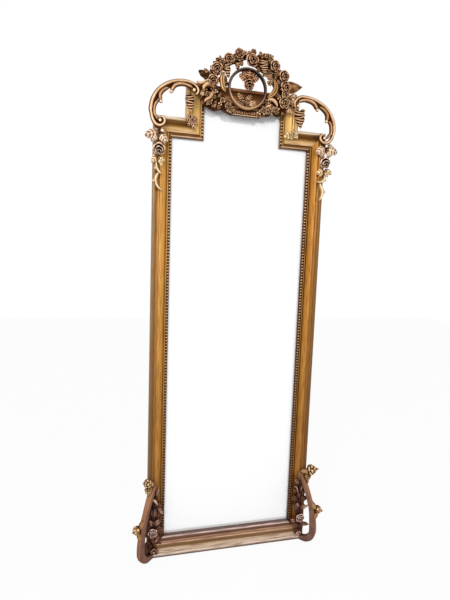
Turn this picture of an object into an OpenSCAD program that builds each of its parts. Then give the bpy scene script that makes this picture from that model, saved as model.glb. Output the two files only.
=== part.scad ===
// Gilt pier mirror: a tall stepped frame with carved crest, ear scrolls and console feet.
// X is to the viewer's right, +Z is up and the back of the frame is the plane Y = 0.
// The front faces -Y, so a height v above the back lies at Y = -v.

/* [Frame] */
// Sight width between the lower stiles
sight_w = 514; // [440:1:600]
// Sight width between the upper stiles
upper_sight_w = 288; // [276:1:300]
// Sight height from the bottom rail to the shoulder rails
lower_sight_h = 1500; // [1300:10:1700]
// Sight height from the shoulder rails to the top rail
upper_sight_h = 121; // [115:1:127]
// Width of the stile, shoulder and top mouldings
moulding_w = 66; // [64:1:70]
// Width of the bottom rail
rail_w = 75; // [71:1:80]

/* [Moulding section] */
// Height of the bead seat above the back
seat_v = 20; // [18:0.5:22]
// Height of the thin fillets above the back
fillet_v = 25; // [24:0.5:26]
// Height of the gold face at its outer arris
face_v = 31; // [28:0.5:33]
// Height of the outer round above the back
round_v = 38; // [36:0.5:40]
// Height of the bottom rail's outer round above the back
rail_round_v = 48; // [42:0.5:50]
// Radius of the outer round
round_r = 7; // [6:0.5:8]
// Radius of the bottom rail's outer round
rail_round_r = 9; // [8:0.5:10]
// Width of the bead seat
seat_w = 9.5; // [9:0.5:11]
// Width of the fillet beside the beads
fillet_w = 3; // [2:0.5:4]
// Width of the plain sight fillet on the rails
sight_fillet_w = 7; // [5:0.5:9]
// Width of the groove inside the gold face
groove_w = 4.5; // [3:0.5:6]
// Width of the cove between the gold face and the outer round
cove_w = 12; // [10:0.5:13]
// Distance from the bottom rail's fillet to its middle reed
reed_u = 30; // [28:0.5:32]
// Radius of the bottom rail's middle reed
reed_r = 3; // [2:0.25:3.5]

/* [Beads] */
// Diameter of a bead
bead_d = 8; // [6:0.5:8.5]
// Distance from bead to bead
bead_pitch = 11.2; // [9.5:0.1:14]
// Diameter of the cord between beads
bead_cord_d = 3.6; // [2:0.1:5]

/* [Mirror plate and back] */
// Width of the rabbet behind the sight edge
rabbet_w = 10; // [8:0.5:12]
// Depth of the rabbet from the back
rabbet_d = 10; // [9:0.5:12]
// Thickness of the mirror plate
plate_t = 4; // [3:0.5:5]
// Thickness of the backing board
board_t = 4; // [3:0.5:5]
// Clearance of plate and board in the rabbet
plate_clear = 1.5; // [0.5:0.25:3]
// Width of a board clip
clip_w = 16; // [12:1:22]
// Thickness of a board clip
clip_t = 1.2; // [0.8:0.1:1.6]
// Reach of a board clip over the board
clip_reach = 12; // [8:0.5:16]
// Length of a board clip on the frame
clip_seat = 16; // [14:0.5:20]

/* [Corner splines] */
// Thickness of a corner spline
spline_t = 4; // [3:0.5:5]
// Width of a corner spline across the mitre
spline_w = 24; // [16:1:30]
// Length of a corner spline along the mitre
spline_l = 44; // [30:1:52]
// Height of a corner spline above the back
spline_v = 11; // [10.5:0.5:12]

/* [Hangers] */
// Height of the ring barrels above the floor
hanger_z = 1400; // [1200:10:1500]
// Width of a hanger strap
strap_w = 14; // [11:0.5:15]
// Length of a hanger strap below its barrel
strap_l = 46; // [44:1:60]
// Thickness of a hanger strap
strap_t = 1.2; // [1:0.1:1.6]
// Wire diameter of a ring
ring_wire_d = 3; // [2.5:0.1:3.6]
// Inner width of a ring
ring_in_w = 22; // [20:0.5:26]
// Straight length of a ring's legs
ring_leg = 4; // [3:0.5:8]
// Running clearance of the ring in its barrel
barrel_clear = 0.08; // [0.05:0.01:0.1]
// Clearance of the barrel over the wood
barrel_lift = 0.3; // [0.25:0.05:0.6]
// Shank diameter of the screws
screw_d = 3; // [2.5:0.1:3.4]
// Length of the screws in the wood
screw_l = 12; // [8:0.5:16]
// Head diameter of the screws
head_d = 6; // [5.5:0.1:6.5]
// Clearance of a screw in its hole
screw_clear = 0.05; // [0.02:0.01:0.1]
// Diameter of a wall bumper
bumper_d = 16; // [12:0.5:20]
// Thickness of a wall bumper
bumper_t = 6; // [5.5:0.5:8]

/* [Crest] */
// Outer width of the crest ring
ring_w = 137; // [130:1:140]
// Outer height of the crest ring
ring_h = 146; // [138:1:150]
// Distance of the crest ring's centre to the right of the middle
ring_x = 3; // [0:0.5:4]
// Width of the crest ring's band
ring_band = 10; // [8:0.5:12]
// Depth of the crest ring's band
ring_t = 16; // [14:0.5:20]
// Height of the ring's centre above the top sight edge
ring_rise = 53; // [51:0.5:56]
// Height of the garland's front above the back
garland_v = 57; // [52:0.5:60]
// Height of the garland's back above the back
garland_back = 26; // [25:0.5:28]
// Distance that the garland hangs below the top sight edge
garland_drop = 30; // [26:0.5:34]
// Thickness of the branches behind the roses
branch_t = 14; // [10:0.5:16]
// Thickness of the straps beside the ring
crest_strap_t = 10; // [6:0.5:12]
// Thickness of the crest's leaves
leaf_t = 4.5; // [3:0.5:6]

/* [Ear scrolls] */
// Distance that an ear scroll stands out beyond the frame
ear_out = 21; // [15:0.5:25]
// Rise of an ear scroll above the shoulder rails
ear_rise = 120; // [115:1:125]
// Width of an ear scroll's stem
ear_w = 21; // [17:0.5:23]
// Depth of an ear scroll's stem
ear_t = 26; // [22:0.5:28]
// Height of an ear scroll's middle above the back
ear_v = 52; // [51:0.5:54]
// Diameter of the ball in the upper curl
ear_ball_d = 14; // [10:0.5:15]

/* [Carved drops] */
// Diameter of the shoulder roses
drop_rose_d = 40; // [34:1:42]
// Height of the drops' front above the back
drop_v = 64; // [60:0.5:68]
// Length of the shoulder leaves
drop_leaf_l = 46; // [40:1:48]
// Length of the ribbon tails
tail_l = 84; // [70:1:100]
// Length of the rosebuds beside the upper sight
bud_l = 52; // [46:1:53]
// Diameter of the rosebuds beside the upper sight
bud_d = 44; // [38:1:46]
// Height of the rosebuds' axis above the back
bud_v = 61; // [56:0.5:64]
// Distance of the rosebuds' axis from the upper sight edge
bud_u = 53; // [50:0.5:56]

/* [Console feet] */
// Angle of a console's plane from the frame's front
foot_turn = 43; // [38:1:48]
// Height of a console above the floor
foot_h = 302; // [285:1:320]
// Reach of a console from its root
foot_reach = 71; // [62:0.5:74]
// Height of the lower bud's root above the floor
low_bud_h = 138; // [128:1:148]
// Width of a console across its plane
foot_w = 20; // [16:0.5:26]
// Distance of a console's root from the sight edge
foot_root_u = 43; // [40:0.5:46]
// Height of a console's root above the back
foot_root_v = 34; // [32:0.5:36]
// Diameter of the lower roses
foot_rose_d = 38; // [34:1:40]
// Distance of the lower roses from the sight edge
foot_rose_u = 48; // [46:0.5:50]
// Length of the buds on the consoles
foot_bud_l = 56; // [48:1:60]
// Diameter of the buds on the consoles
foot_bud_d = 36; // [30:0.5:38]
// Angle by which the upper bud turns to the front and the lower one away from it
foot_bud_turn = 14; // [5:1:20]
// Angle by which the console buds point up
foot_bud_lift = 26; // [10:1:30]

/* [Hidden] */

gold = "#b98a4b";
rose_gold = "#b98463";
copper = "#8a5a3c";
dark_wood = "#6b4a42";
steel = "#9a9a9c";
brass = "#b8924a";

// Sight and outer corners of the frame, at the right-hand side.
hw = sight_w / 2;
uw = upper_sight_w / 2;
z0 = rail_w;
z1 = z0 + lower_sight_h;
z2 = z1 + upper_sight_h;
sight = [[hw, z0], [hw, z1], [uw, z1], [uw, z2]];
outer = [[hw + moulding_w, 0], [hw + moulding_w, z1 + moulding_w],
         [uw + moulding_w, z1 + moulding_w], [uw + moulding_w, z2 + moulding_w]];

bead_u = seat_w - bead_d / 2;
bead_gap = 0.4;
board_v = rabbet_d - plate_t - board_t;
fit_gap = 0.3;
fan_step = 0.6;
deep = 90;
sides = 12;

// ---- Points and curves ----

function arc(c, r, from, to, steps) =
  [for (i = [0 : steps]) let (a = from + (to - from) * i / steps) c + r * [cos(a), sin(a)]];

function unit(p) = p / norm(p);

// A smooth curve through hand-chosen knots of any dimension.
function blend4(a, b, c, d, t) =
  0.5 * (2 * b + (c - a) * t + (2 * a - 5 * b + 4 * c - d) * t * t + (3 * b - a - 3 * c + d) * t * t * t);

function curve(knots, steps) =
  let (last = len(knots) - 1)
  concat(
    [for (i = [0 : last - 1], s = [0 : steps - 1])
      blend4(knots[max(i - 1, 0)], knots[i], knots[i + 1], knots[min(i + 2, last)], s / steps)],
    [knots[last]]);

function along(path, i) =
  let (a = path[max(i - 1, 0)], b = path[min(i + 1, len(path) - 1)])
  unit([b[0] - a[0], b[1] - a[1]]);

function left_of(path, i) = [-along(path, i)[1], along(path, i)[0]];

// The outline of a band whose half width is each point's third number.
function band(path) = concat(
  [for (i = [0 : len(path) - 1]) [path[i][0], path[i][1]] + left_of(path, i) * path[i][2]],
  [for (i = [len(path) - 1 : -1 : 0]) [path[i][0], path[i][1]] - left_of(path, i) * path[i][2]]);

// ---- Placing ----

// Local X is to the right, local Y is up and local Z comes out of the frame's front.
module on_front(x, z, v) {
  translate([x, -v, z]) rotate([90, 0, 0]) children();
}

module slab(points, low, high) {
  on_front(0, 0, low) linear_extrude(height = high - low) polygon(points);
}

// ---- Moulding ----

function dish(from, to, sag, steps) =
  [for (i = [0 : steps]) let (t = i / steps)
    [from[0] + (to[0] - from[0]) * t, from[1] + (to[1] - from[1]) * t - 4 * sag * t * (1 - t)]];

cove_u = moulding_w - 2 * round_r - cove_w;
round_side_v = round_v - round_r;
cove_dip = 3;

// Front of the moulding from the gold face outward, as [distance from sight, height].
function face_run(face_u) = concat(
  [[face_u, seat_v], [face_u, fillet_v]],
  dish([face_u, fillet_v], [cove_u, face_v], 1, 4),
  [[cove_u, face_v - 2]],
  dish([cove_u, face_v - 2], [moulding_w - 2 * round_r, face_v], cove_dip, 5),
  arc([moulding_w - round_r, round_side_v], round_r, 180, 0, 10),
  [[moulding_w, 0]]);

function back_run(cut) = cut
  ? [[rabbet_w, 0], [rabbet_w, rabbet_d], [0, rabbet_d]]
  : [[0, 0]];

function stile_section(cut) = concat(
  back_run(cut),
  [[0, seat_v], [seat_w, seat_v], [seat_w, fillet_v], [seat_w + fillet_w, fillet_v],
   [seat_w + fillet_w, seat_v]],
  face_run(seat_w + fillet_w + groove_w));

function rail_section(cut) = concat(
  back_run(cut),
  [[0, fillet_v - 1], [sight_fillet_w, fillet_v - 1], [sight_fillet_w, seat_v]],
  face_run(sight_fillet_w + 2 * groove_w));

function bottom_section(cut) = concat(
  back_run(cut),
  [[0, fillet_v - 1], [sight_fillet_w + 2, fillet_v - 1], [sight_fillet_w + 2, seat_v]],
  dish([sight_fillet_w + 2, seat_v], [reed_u, fillet_v], 1, 4),
  arc([reed_u + reed_r, fillet_v], reed_r, 180, 0, 6),
  dish([reed_u + 2 * reed_r, fillet_v], [rail_w - 2 * rail_round_r, rail_round_v - rail_round_r],
       4, 6),
  arc([rail_w - rail_round_r, rail_round_v - rail_round_r], rail_round_r, 180, 0, 12),
  [[rail_w, 0]]);

module section(points) {
  polygon([for (p = points) [p[0], -p[1]]]);
}

module upright(points, x, top) {
  translate([x, 0, -deep]) linear_extrude(height = top + 2 * deep) section(points);
}

// A rail lies along X, with its section's distance from the sight edge pointing up or down.
module crosswise(points, z, up) {
  translate([0, 0, z]) rotate([0, up ? -90 : 90, 0])
    linear_extrude(height = sight_w + 4 * deep, center = true) section(points);
}

module mitred(plan) {
  intersection() {
    children();
    slab(plan, -1, deep);
  }
}

module right_stile_bar(cut) {
  mitred([sight[0], outer[0], outer[1], sight[1]]) upright(stile_section(cut), hw, z1);
}

module right_shoulder_bar(cut) {
  mitred([sight[1], outer[1], outer[2], sight[2]]) crosswise(rail_section(cut), z1, true);
}

module right_upper_bar(cut) {
  mitred([sight[2], outer[2], outer[3], sight[3]]) upright(stile_section(cut), uw, z2);
}

module top_bar(cut) {
  mitred([sight[3], outer[3], [-outer[3][0], outer[3][1]], [-sight[3][0], sight[3][1]]])
    crosswise(rail_section(cut), z2, true);
}

module bottom_bar(cut) {
  mitred([sight[0], outer[0], [-outer[0][0], outer[0][1]], [-sight[0][0], sight[0][1]]])
    crosswise(bottom_section(cut), z0, false);
}

// Splines across a mitre, as [middle, direction from the sight corner to the outer corner].
joints = [for (i = [0 : 3]) [(sight[i] + outer[i]) / 2, unit(outer[i] - sight[i])]];

module spline_at(i, clear) {
  turn = atan2(joints[i][1][1], joints[i][1][0]);
  on_front(joints[i][0][0], joints[i][0][1], spline_v - clear)
    rotate([0, 0, turn])
      translate([-spline_l / 2 - clear, -spline_w / 2 - clear, 0])
        cube([spline_l + 2 * clear, spline_w + 2 * clear, spline_t + 2 * clear]);
}

module spline_slots(list) {
  for (i = list) spline_at(i, 0.1);
}

// ---- Screws and clips ----

// A countersunk screw along +Z of its own frame: its head is flush with the plane Z = 0.
module screw() {
  rotate_extrude($fn = 24)
    polygon([[0, -screw_l], [screw_d / 2, -screw_l + 2], [screw_d / 2, -(head_d - screw_d) / 2],
             [head_d / 2, 0], [0, 0]]);
}

// A screw's hole with its countersink, which goes 1 mm beyond the depth t.
module countersink(t) {
  hole_r = screw_d / 2 + screw_clear;
  rotate_extrude($fn = 24)
    polygon([[0, -t - 1], [hole_r, -t - 1], [hole_r, -(head_d - screw_d) / 2],
             [head_d / 2 + screw_clear, 0], [head_d / 2 + screw_clear, 0.5], [0, 0.5]]);
}

// Local Z points out of the back of the frame.
module on_back(x, z, y) {
  translate([x, y, z]) rotate([-90, 0, 0]) children();
}

clip_screw_u = rabbet_w + clip_seat / 2;
clip_zs = [for (t = [0.08, 0.36, 0.64, 0.92]) z0 + lower_sight_h * t];
clip_xs = [-hw * 0.6, 0, hw * 0.6];

// Places each child with +X pointing away from the sight edge and +Z out of the back.
module at_stile_clips() {
  for (z = clip_zs) translate([hw, 0, z]) rotate([-90, 0, 0]) children();
}

module at_bottom_clips() {
  for (x = clip_xs) translate([x, 0, z0]) rotate([-90, 0, 0]) rotate([0, 0, 90]) children();
}

module at_top_clips() {
  for (x = [-uw / 2, uw / 2]) translate([x, 0, z2]) rotate([-90, 0, 0]) rotate([0, 0, -90]) children();
}

module clip() {
  difference() {
    rotate([90, 0, 0]) linear_extrude(height = clip_w, center = true)
      polygon([[rabbet_w + clip_seat, 0], [rabbet_w + clip_seat, clip_t], [rabbet_w - clip_t, clip_t],
               [rabbet_w - clip_t - board_v, clip_t - board_v],
               [rabbet_w - clip_t - clip_reach, clip_t - board_v],
               [rabbet_w - clip_t - clip_reach, -board_v], [rabbet_w - 1, -board_v],
               [rabbet_w - 1, 0]]);
    translate([clip_screw_u, 0, clip_t]) countersink(clip_t);
  }
}

module clip_pilots() {
  translate([clip_screw_u, 0, clip_t]) countersink(screw_l);
}

// ---- Hangers ----

barrel_r = ring_wire_d / 2 + barrel_clear + strap_t;
barrel_y = barrel_r + barrel_lift;
hanger_x = hw + moulding_w / 2 + 2;
strap_screw_zs = [for (t = [0.62, 0.9]) hanger_z - strap_l * t];

module at_hanger_screws() {
  for (z = strap_screw_zs) on_back(hanger_x, z, strap_t) children();
}

module right_strap() {
  difference() {
    union() {
      translate([hanger_x - strap_w / 2, 0, hanger_z - strap_l])
        cube([strap_w, strap_t, strap_l - barrel_r]);
      translate([hanger_x - strap_w / 2, 0, hanger_z - barrel_r - 1])
        cube([strap_w, barrel_y, barrel_r + 1]);
      translate([hanger_x, barrel_y, hanger_z]) rotate([0, 90, 0])
        cylinder(r = barrel_r, h = strap_w, center = true, $fn = 36);
    }
    translate([hanger_x, barrel_y, hanger_z]) rotate([0, 90, 0])
      cylinder(r = ring_wire_d / 2 + barrel_clear, h = strap_w + 2, center = true, $fn = 36);
    at_hanger_screws() countersink(strap_t);
  }
}

// The ring hangs in the plane of its bar, from a bar along X.
module right_ring() {
  bow_r = (ring_in_w + ring_wire_d) / 2;
  translate([hanger_x, barrel_y, hanger_z]) {
    rotate([0, 90, 0]) cylinder(d = ring_wire_d, h = 2 * bow_r, center = true, $fn = 24);
    for (s = [-1, 1]) translate([s * bow_r, 0, 0]) {
      sphere(d = ring_wire_d, $fn = 24);
      translate([0, 0, -ring_leg]) cylinder(d = ring_wire_d, h = ring_leg, $fn = 24);
    }
    translate([0, 0, -ring_leg]) rotate([90, 180, 0]) rotate_extrude(angle = 180, $fn = 48)
      translate([bow_r, 0]) circle(d = ring_wire_d, $fn = 24);
  }
}

bumper_spots = [[hw + moulding_w / 2, z0 + 40], [uw + moulding_w / 2, z2 - 20]];

// ---- Carved pieces ----

// A rose in rings of petals, which stands on Z = 0.
module rose(d, h) {
  r = d / 2;
  rotate_extrude($fn = 36)
    polygon([[0, 0], [0.72 * r, 0], [r, 0.38 * h], [0.97 * r, 0.52 * h], [0.74 * r, 0.42 * h],
             [0.7 * r, 0.72 * h], [0.62 * r, 0.8 * h], [0.46 * r, 0.66 * h], [0.42 * r, 0.92 * h],
             [0.34 * r, h], [0.16 * r, 0.82 * h], [0, 0.86 * h]]);
}

// A rosebud of overlapping collars, whose tip points along +Z.
module bud(d, l) {
  r = d / 2;
  rotate_extrude($fn = 30)
    polygon([[0, 0], [0.5 * r, 0], [0.95 * r, 0.1 * l], [r, 0.24 * l], [0.82 * r, 0.26 * l],
             [0.9 * r, 0.42 * l], [0.68 * r, 0.45 * l], [0.74 * r, 0.6 * l], [0.5 * r, 0.64 * l],
             [0.54 * r, 0.78 * l], [0.3 * r, 0.82 * l], [0.3 * r, 0.92 * l], [0, l]]);
}

// A pointed leaf with a midrib, from the origin along +X, in the plane Z = 0.
module plain_leaf(l, w, t) {
  r = (l * l + w * w) / (4 * w);
  linear_extrude(height = t) intersection() {
    translate([l / 2, w / 2 - r]) circle(r = r, $fn = 72);
    translate([l / 2, r - w / 2]) circle(r = r, $fn = 72);
  }
}

module leaf(l, w, t) {
  plain_leaf(l, w, t);
  translate([l * 0.08, -w * 0.07, t / 2]) cube([l * 0.8, w * 0.14, t * 0.8]);
}

module leaf_at(x, z, v, turn, l, w, t) {
  on_front(x, z, v) rotate([0, 0, turn]) leaf(l, w, t);
}

// Leaves round one point, each a little above the one before it.
module leaf_fan(x, z, v, turns, l, w, t) {
  for (i = [0 : len(turns) - 1]) leaf_at(x, z, v + fan_step * i, turns[i], l, w, t);
}

// A rounded stem swept along a curve in the plane of the front: each point is [x, z, half width].
module stem(path, v, flat) {
  n = len(path);
  points = [for (i = [0 : n - 1], k = [0 : sides - 1])
    let (across = left_of(path, i) * path[i][2] * cos(360 * k / sides))
    [path[i][0] + across[0], -v - path[i][2] * flat * sin(360 * k / sides), path[i][1] + across[1]]];
  skins = [for (i = [0 : n - 2], k = [0 : sides - 1])
    let (a = i * sides + k, b = i * sides + (k + 1) % sides)
    each [[a, a + sides, b], [b, a + sides, b + sides]]];
  ends = [[for (k = [0 : sides - 1]) k], [for (k = [sides - 1 : -1 : 0]) (n - 1) * sides + k]];
  polyhedron(points, concat(skins, ends), convexity = 6);
}

// ---- Crest ----

ring_z = z2 + ring_rise;
ring_v = garland_v;
seam_z = z2 + 41;
branch_v = garland_v - branch_t;
crest_cut = 46;

module oval_prism(grow, h) {
  wide = ring_w / 2 + grow;
  tall = ring_h / 2 + grow;
  linear_extrude(height = h) polygon([for (a = [0 : 4.5 : 359]) [wide * cos(a), tall * sin(a)]]);
}

// Wavy lower edge of the crest, from the middle outward, as [distance, height above its lowest line].
garland_low = z2 - garland_drop;
left_edge = [[crest_cut, -1], [64, 0], [84, 9], [110, 3], [134, 13], [uw + 8, 20]];
right_edge = [[crest_cut, -1], [60, 1], [82, 12], [108, 13], [132, 14], [uw + 8, 25]];

module crest_apron() {
  color(copper) difference() {
    union() {
      slab([[-crest_cut, garland_low - 1], [crest_cut, garland_low - 1], [crest_cut, z2 - 9],
            [-crest_cut, z2 - 9]], garland_back, garland_v - 4);
      for (i = [-4 : 4]) on_front(i * 10, garland_low - 1, garland_v - 4)
        rotate([-90, 0, 0]) cylinder(r = 4, h = garland_drop - 8, $fn = 24);
    }
    top_bar(false);
  }
}

module garland_block(edge) {
  low = [for (p = edge) [p[0], garland_low + p[1]]];
  difference() {
    slab(concat(curve(low, 4), [[uw + 16, garland_low + 34], [uw + 10, z2 + 30], [uw - 4, seam_z],
           [uw - 34, seam_z], [uw - 52, z2 + 22], [crest_cut + 16, z2 + 6], [crest_cut, z2 - 9]]),
         garland_back, garland_v);
    top_bar(false);
    right_upper_bar(false);
  }
}

module left_garland() {
  color(copper) mirror([1, 0, 0]) {
    garland_block(left_edge);
    on_front(uw - 8, z2 + 20, garland_v) rose(38, 10);
  }
}

module right_garland() {
  color(copper) {
    garland_block(right_edge);
    on_front(uw - 12, z2 + 21, garland_v) rose(42, 14);
  }
}

module crest_ring() {
  color(copper) on_front(ring_x, ring_z, ring_v) difference() {
    oval_prism(0, ring_t);
    translate([0, 0, -1]) oval_prism(-ring_band, ring_t + 2);
  }
}

drop_z = ring_z + 14;
drop_leaf_v = ring_v + 2;

module ring_drop() {
  color(copper) {
    on_front(0, drop_z, drop_leaf_v + 2) rose(37, 15);
    intersection() {
      union() {
        leaf_fan(0, drop_z, drop_leaf_v, [20, 52, 90, 128, 160], 47, 20, 3);
        slab([[-4, drop_z], [4, drop_z], [4, ring_z + ring_h / 2], [-4, ring_z + ring_h / 2]],
             drop_leaf_v - 1, drop_leaf_v + 6);
      }
      on_front(ring_x, ring_z, drop_leaf_v - 2) oval_prism(-ring_band, 12);
    }
  }
}

module ring_flower() {
  color(copper) difference() {
    union() {
      on_front(0, z2 + 12, fillet_v - 3) cylinder(r = 9, h = 12, $fn = 32);
      on_front(0, z2 + 12, fillet_v + 9) rose(22, 9);
      for (turn = [25, 75, 105, 155]) leaf_at(0, z2 + 12, fillet_v + 4, turn, 27, 12, 4);
    }
    top_bar(false);
  }
}

// Middle lines of the branches from the garland to the top, as
// [distance from the middle, height above the ring's middle, half width].
left_line = [[uw - 21, -12, 17], [uw - 15, 16, 19], [uw - 29, 54, 20],
             [uw - 62, 86, 20], [uw - 104, 107, 19], [0, 114, 18]];
right_line = [[uw - 23, -12, 20], [uw - 20, 16, 25], [uw - 34, 52, 27],
              [uw - 64, 81, 27], [uw - 106, 101, 25], [0, 110, 22]];

module branch_slab(line) {
  path = [for (p = line) [p[0], ring_z + p[1], p[2]]];
  intersection() {
    slab(band(curve(path, 5)), branch_v, garland_v);
    slab([[0, seam_z], [uw * 2, seam_z], [uw * 2, seam_z + 400], [0, seam_z + 400]],
         branch_v - 1, garland_v + 1);
  }
}

module left_branch() {
  color(copper) mirror([1, 0, 0]) branch_slab(left_line);
}

module right_branch() {
  color(copper) branch_slab(right_line);
}

// Roses on the branches, as [x, height above the ring's middle, diameter, height].
left_roses = [[-123, 14, 36, 19], [-114, 55, 40, 20], [-72, 93, 34, 20], [-36, 117, 34, 19],
              [-42, 84, 22, 14]];
right_roses = [[136, 18, 36, 19], [133, 57, 37, 20], [97, 93, 32, 20], [61, 92, 33, 20],
               [70, 122, 20, 14], [37, 121, 18, 14]];

module rose_row(list) {
  color(copper) for (p = list) on_front(p[0], ring_z + p[1], garland_v) rose(p[2], p[3]);
}

module left_crest_roses() {
  rose_row(left_roses);
}

module right_crest_roses() {
  rose_row(right_roses);
}

module crest_rose() {
  color(copper) on_front(10, ring_z + 101, garland_v) rose(44, 22);
}

// Leaves behind the branches, as [distance from the middle, height above the ring's middle,
// turn, length, width].
left_back_leaves = [[122, 34, 24, 58, 30], [106, 60, 22, 36, 24], [78, 90, 40, 34, 24],
                    [28, 108, 78, 31, 24]];
right_back_leaves = [[128, 30, 14, 84, 30], [112, 64, 24, 38, 24], [86, 94, 36, 37, 24],
                     [46, 110, 60, 37, 24], [8, 112, 84, 31, 24]];

module leaf_row(leaves) {
  color(copper) for (p = leaves)
    on_front(p[0], ring_z + p[1], branch_v - leaf_t) rotate([0, 0, p[2]])
      plain_leaf(p[3], p[4], leaf_t);
}

module left_crest_leaves() {
  mirror([1, 0, 0]) leaf_row(left_back_leaves);
}

module right_crest_leaves() {
  leaf_row(right_back_leaves);
}

strap_knots = [[ring_w / 2 + 19, ring_z + 44, 6], [ring_w / 2 + 24, ring_z + 24, 8],
               [ring_w / 2 + 21, ring_z + 4, 8.5], [ring_w / 2 + 11, ring_z - 16, 8],
               [ring_w / 2 + 8, ring_z - 42, 7]];

module strap_band(ring_shift) {
  difference() {
    slab(band(curve(strap_knots, 5)), garland_v, garland_v + crest_strap_t);
    on_front(ring_shift, ring_z, garland_v - 1) oval_prism(fit_gap, crest_strap_t + 2);
  }
}

module left_crest_strap() {
  color(copper) mirror([1, 0, 0]) strap_band(-ring_x);
}

module right_crest_strap() {
  color(copper) strap_band(ring_x);
}

// ---- Ear scrolls ----

ear_left = hw + moulding_w + ear_out - ear_w / 2;
ear_top = z1 + moulding_w + ear_rise - ear_w / 2;
low_curl = [hw + 50, z1 + 41];
high_curl = [uw + 48, z1 + 152];

ear_knots = concat(
  [[low_curl[0] + 1, low_curl[1] + 9, 4], [low_curl[0] - 12, low_curl[1] + 4, 6],
   [low_curl[0] - 13, low_curl[1] - 8, 7.5], [low_curl[0], low_curl[1] - 16, 8.5],
   [low_curl[0] + 15, low_curl[1] - 8, 9.5]],
  [for (i = [0 : 4]) let (a = 90 * i / 4)
    [high_curl[0] + 30 + (ear_left - high_curl[0] - 30) * cos(a),
     low_curl[1] + 35 + (ear_top - low_curl[1] - 35) * sin(a), ear_w / 2]],
  [[high_curl[0] + 6, ear_top - 1, 9.5], [high_curl[0] - 9, ear_top - 11, 8.5],
   [high_curl[0] - 13, high_curl[1] + 2, 7], [high_curl[0] - 8, high_curl[1] - 11, 6]]);

module right_ear() {
  difference() {
    union() {
      stem(curve(ear_knots, 4), ear_v, ear_t / ear_w);
      on_front(low_curl[0], low_curl[1], seat_v) cylinder(r = 17, h = ear_v - seat_v, $fn = 48);
      on_front(high_curl[0] - 2, high_curl[1], seat_v) cylinder(r = 13, h = ear_v - seat_v, $fn = 48);
      translate([high_curl[0] + 2, -ear_v - 5, high_curl[1]]) sphere(d = ear_ball_d, $fn = 32);
    }
    right_stile_bar(false);
    right_shoulder_bar(false);
    right_upper_bar(false);
    top_bar(false);
  }
}

module left_ear_scroll() {
  color(rose_gold) mirror([1, 0, 0]) right_ear();
}

module right_ear_scroll() {
  color(rose_gold) right_ear();
}

// ---- Drops beside the upper sight ----

bud_x = uw + bud_u;
bud_top = high_curl[1] - 21;

module right_bud() {
  difference() {
    union() {
      translate([bud_x, -bud_v, bud_top]) rotate([180, 0, 0]) bud(bud_d, bud_l);
      on_front(bud_x - 6, bud_top - bud_l / 2, seat_v) cylinder(r = 12, h = bud_v - seat_v, $fn = 32);
    }
    right_upper_bar(false);
    right_shoulder_bar(false);
  }
}

module left_bud_drop() {
  color(rose_gold) mirror([1, 0, 0]) right_bud();
}

module right_bud_drop() {
  color(rose_gold) right_bud();
}

spray_x = uw + 40;
spray_z = z1 + moulding_w - 10;

module right_spray() {
  difference() {
    union() {
      on_front(spray_x, spray_z, seat_v) cylinder(r = 11, h = round_v + 8 - seat_v, $fn = 32);
      leaf_fan(spray_x, spray_z, round_v, [-60, -20, 20, 200, 240, 270], 30, 15, 6);
      on_front(spray_x, spray_z, round_v + 8) rose(20, 7);
    }
    right_upper_bar(false);
    right_shoulder_bar(false);
  }
}

module left_corner_spray() {
  color(rose_gold) mirror([1, 0, 0]) right_spray();
}

module right_corner_spray() {
  color(rose_gold) right_spray();
}

// ---- Drops on the shoulders ----

drop_x = hw + 51;
drop_seat_v = round_v + 4;
shoulder_z = z1 - 4;
drop_rose_z = z1 - 48;

module right_leaves() {
  difference() {
    union() {
      on_front(drop_x, shoulder_z, seat_v) cylinder(r = 9, h = drop_seat_v + 12 - seat_v, $fn = 32);
      leaf_at(drop_x - 4, shoulder_z + 6, drop_seat_v, -5, drop_leaf_l + 4, 30, 7);
      leaf_at(drop_x + 4, shoulder_z + 4, drop_seat_v + fan_step, 188, drop_leaf_l, 30, 7);
    }
    right_stile_bar(false);
    right_shoulder_bar(false);
  }
}

module left_shoulder_leaves() {
  color(rose_gold) mirror([1, 0, 0]) right_leaves();
}

module right_shoulder_leaves() {
  color(rose_gold) right_leaves();
}

module right_drop_rose() {
  difference() {
    union() {
      on_front(drop_x, drop_rose_z, seat_v)
        cylinder(d = drop_rose_d * 0.7, h = drop_seat_v - seat_v, $fn = 48);
      on_front(drop_x, drop_rose_z, drop_seat_v) rose(drop_rose_d, drop_v - drop_seat_v);
    }
    right_stile_bar(false);
  }
}

module left_shoulder_rose() {
  color(rose_gold) mirror([1, 0, 0]) right_drop_rose();
}

module right_shoulder_rose() {
  color(rose_gold) right_drop_rose();
}

tail_top = drop_rose_z - drop_rose_d / 2 - 1;
tail_fork = tail_top - 26;

// The ribbon's middle line, as [sideways, share of its length, half width].
tail_wave = [[2, 0, 3], [-2, 0.12, 4], [-4, 0.3, 6], [5, 0.5, 7.5], [-6, 0.72, 7], [4, 0.9, 6],
             [-4, 1, 3]];

module right_tail_band() {
  wave = [for (p = tail_wave) [drop_x + p[0], tail_top - (tail_l + 30) * p[1], p[2]]];
  difference() {
    union() {
      slab(band(curve(wave, 4)), seat_v, round_v + 9);
      leaf_at(drop_x, tail_fork + 4, round_v + 9, -25, 30, 14, 5);
      leaf_at(drop_x, tail_fork + 4, round_v + 9, 205, 28, 14, 5);
    }
    right_stile_bar(false);
  }
}

module left_tail() {
  color(rose_gold) mirror([1, 0, 0]) right_tail_band();
}

module right_tail() {
  color(rose_gold) right_tail_band();
}

// ---- Console feet ----

root_x = hw + foot_root_u;
foot_eye = [3, 25];
// Distance from the sight edge to where a console's top end dies into the stile.
foot_tip_u = 22;
foot_bend = foot_reach - 13;

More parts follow.
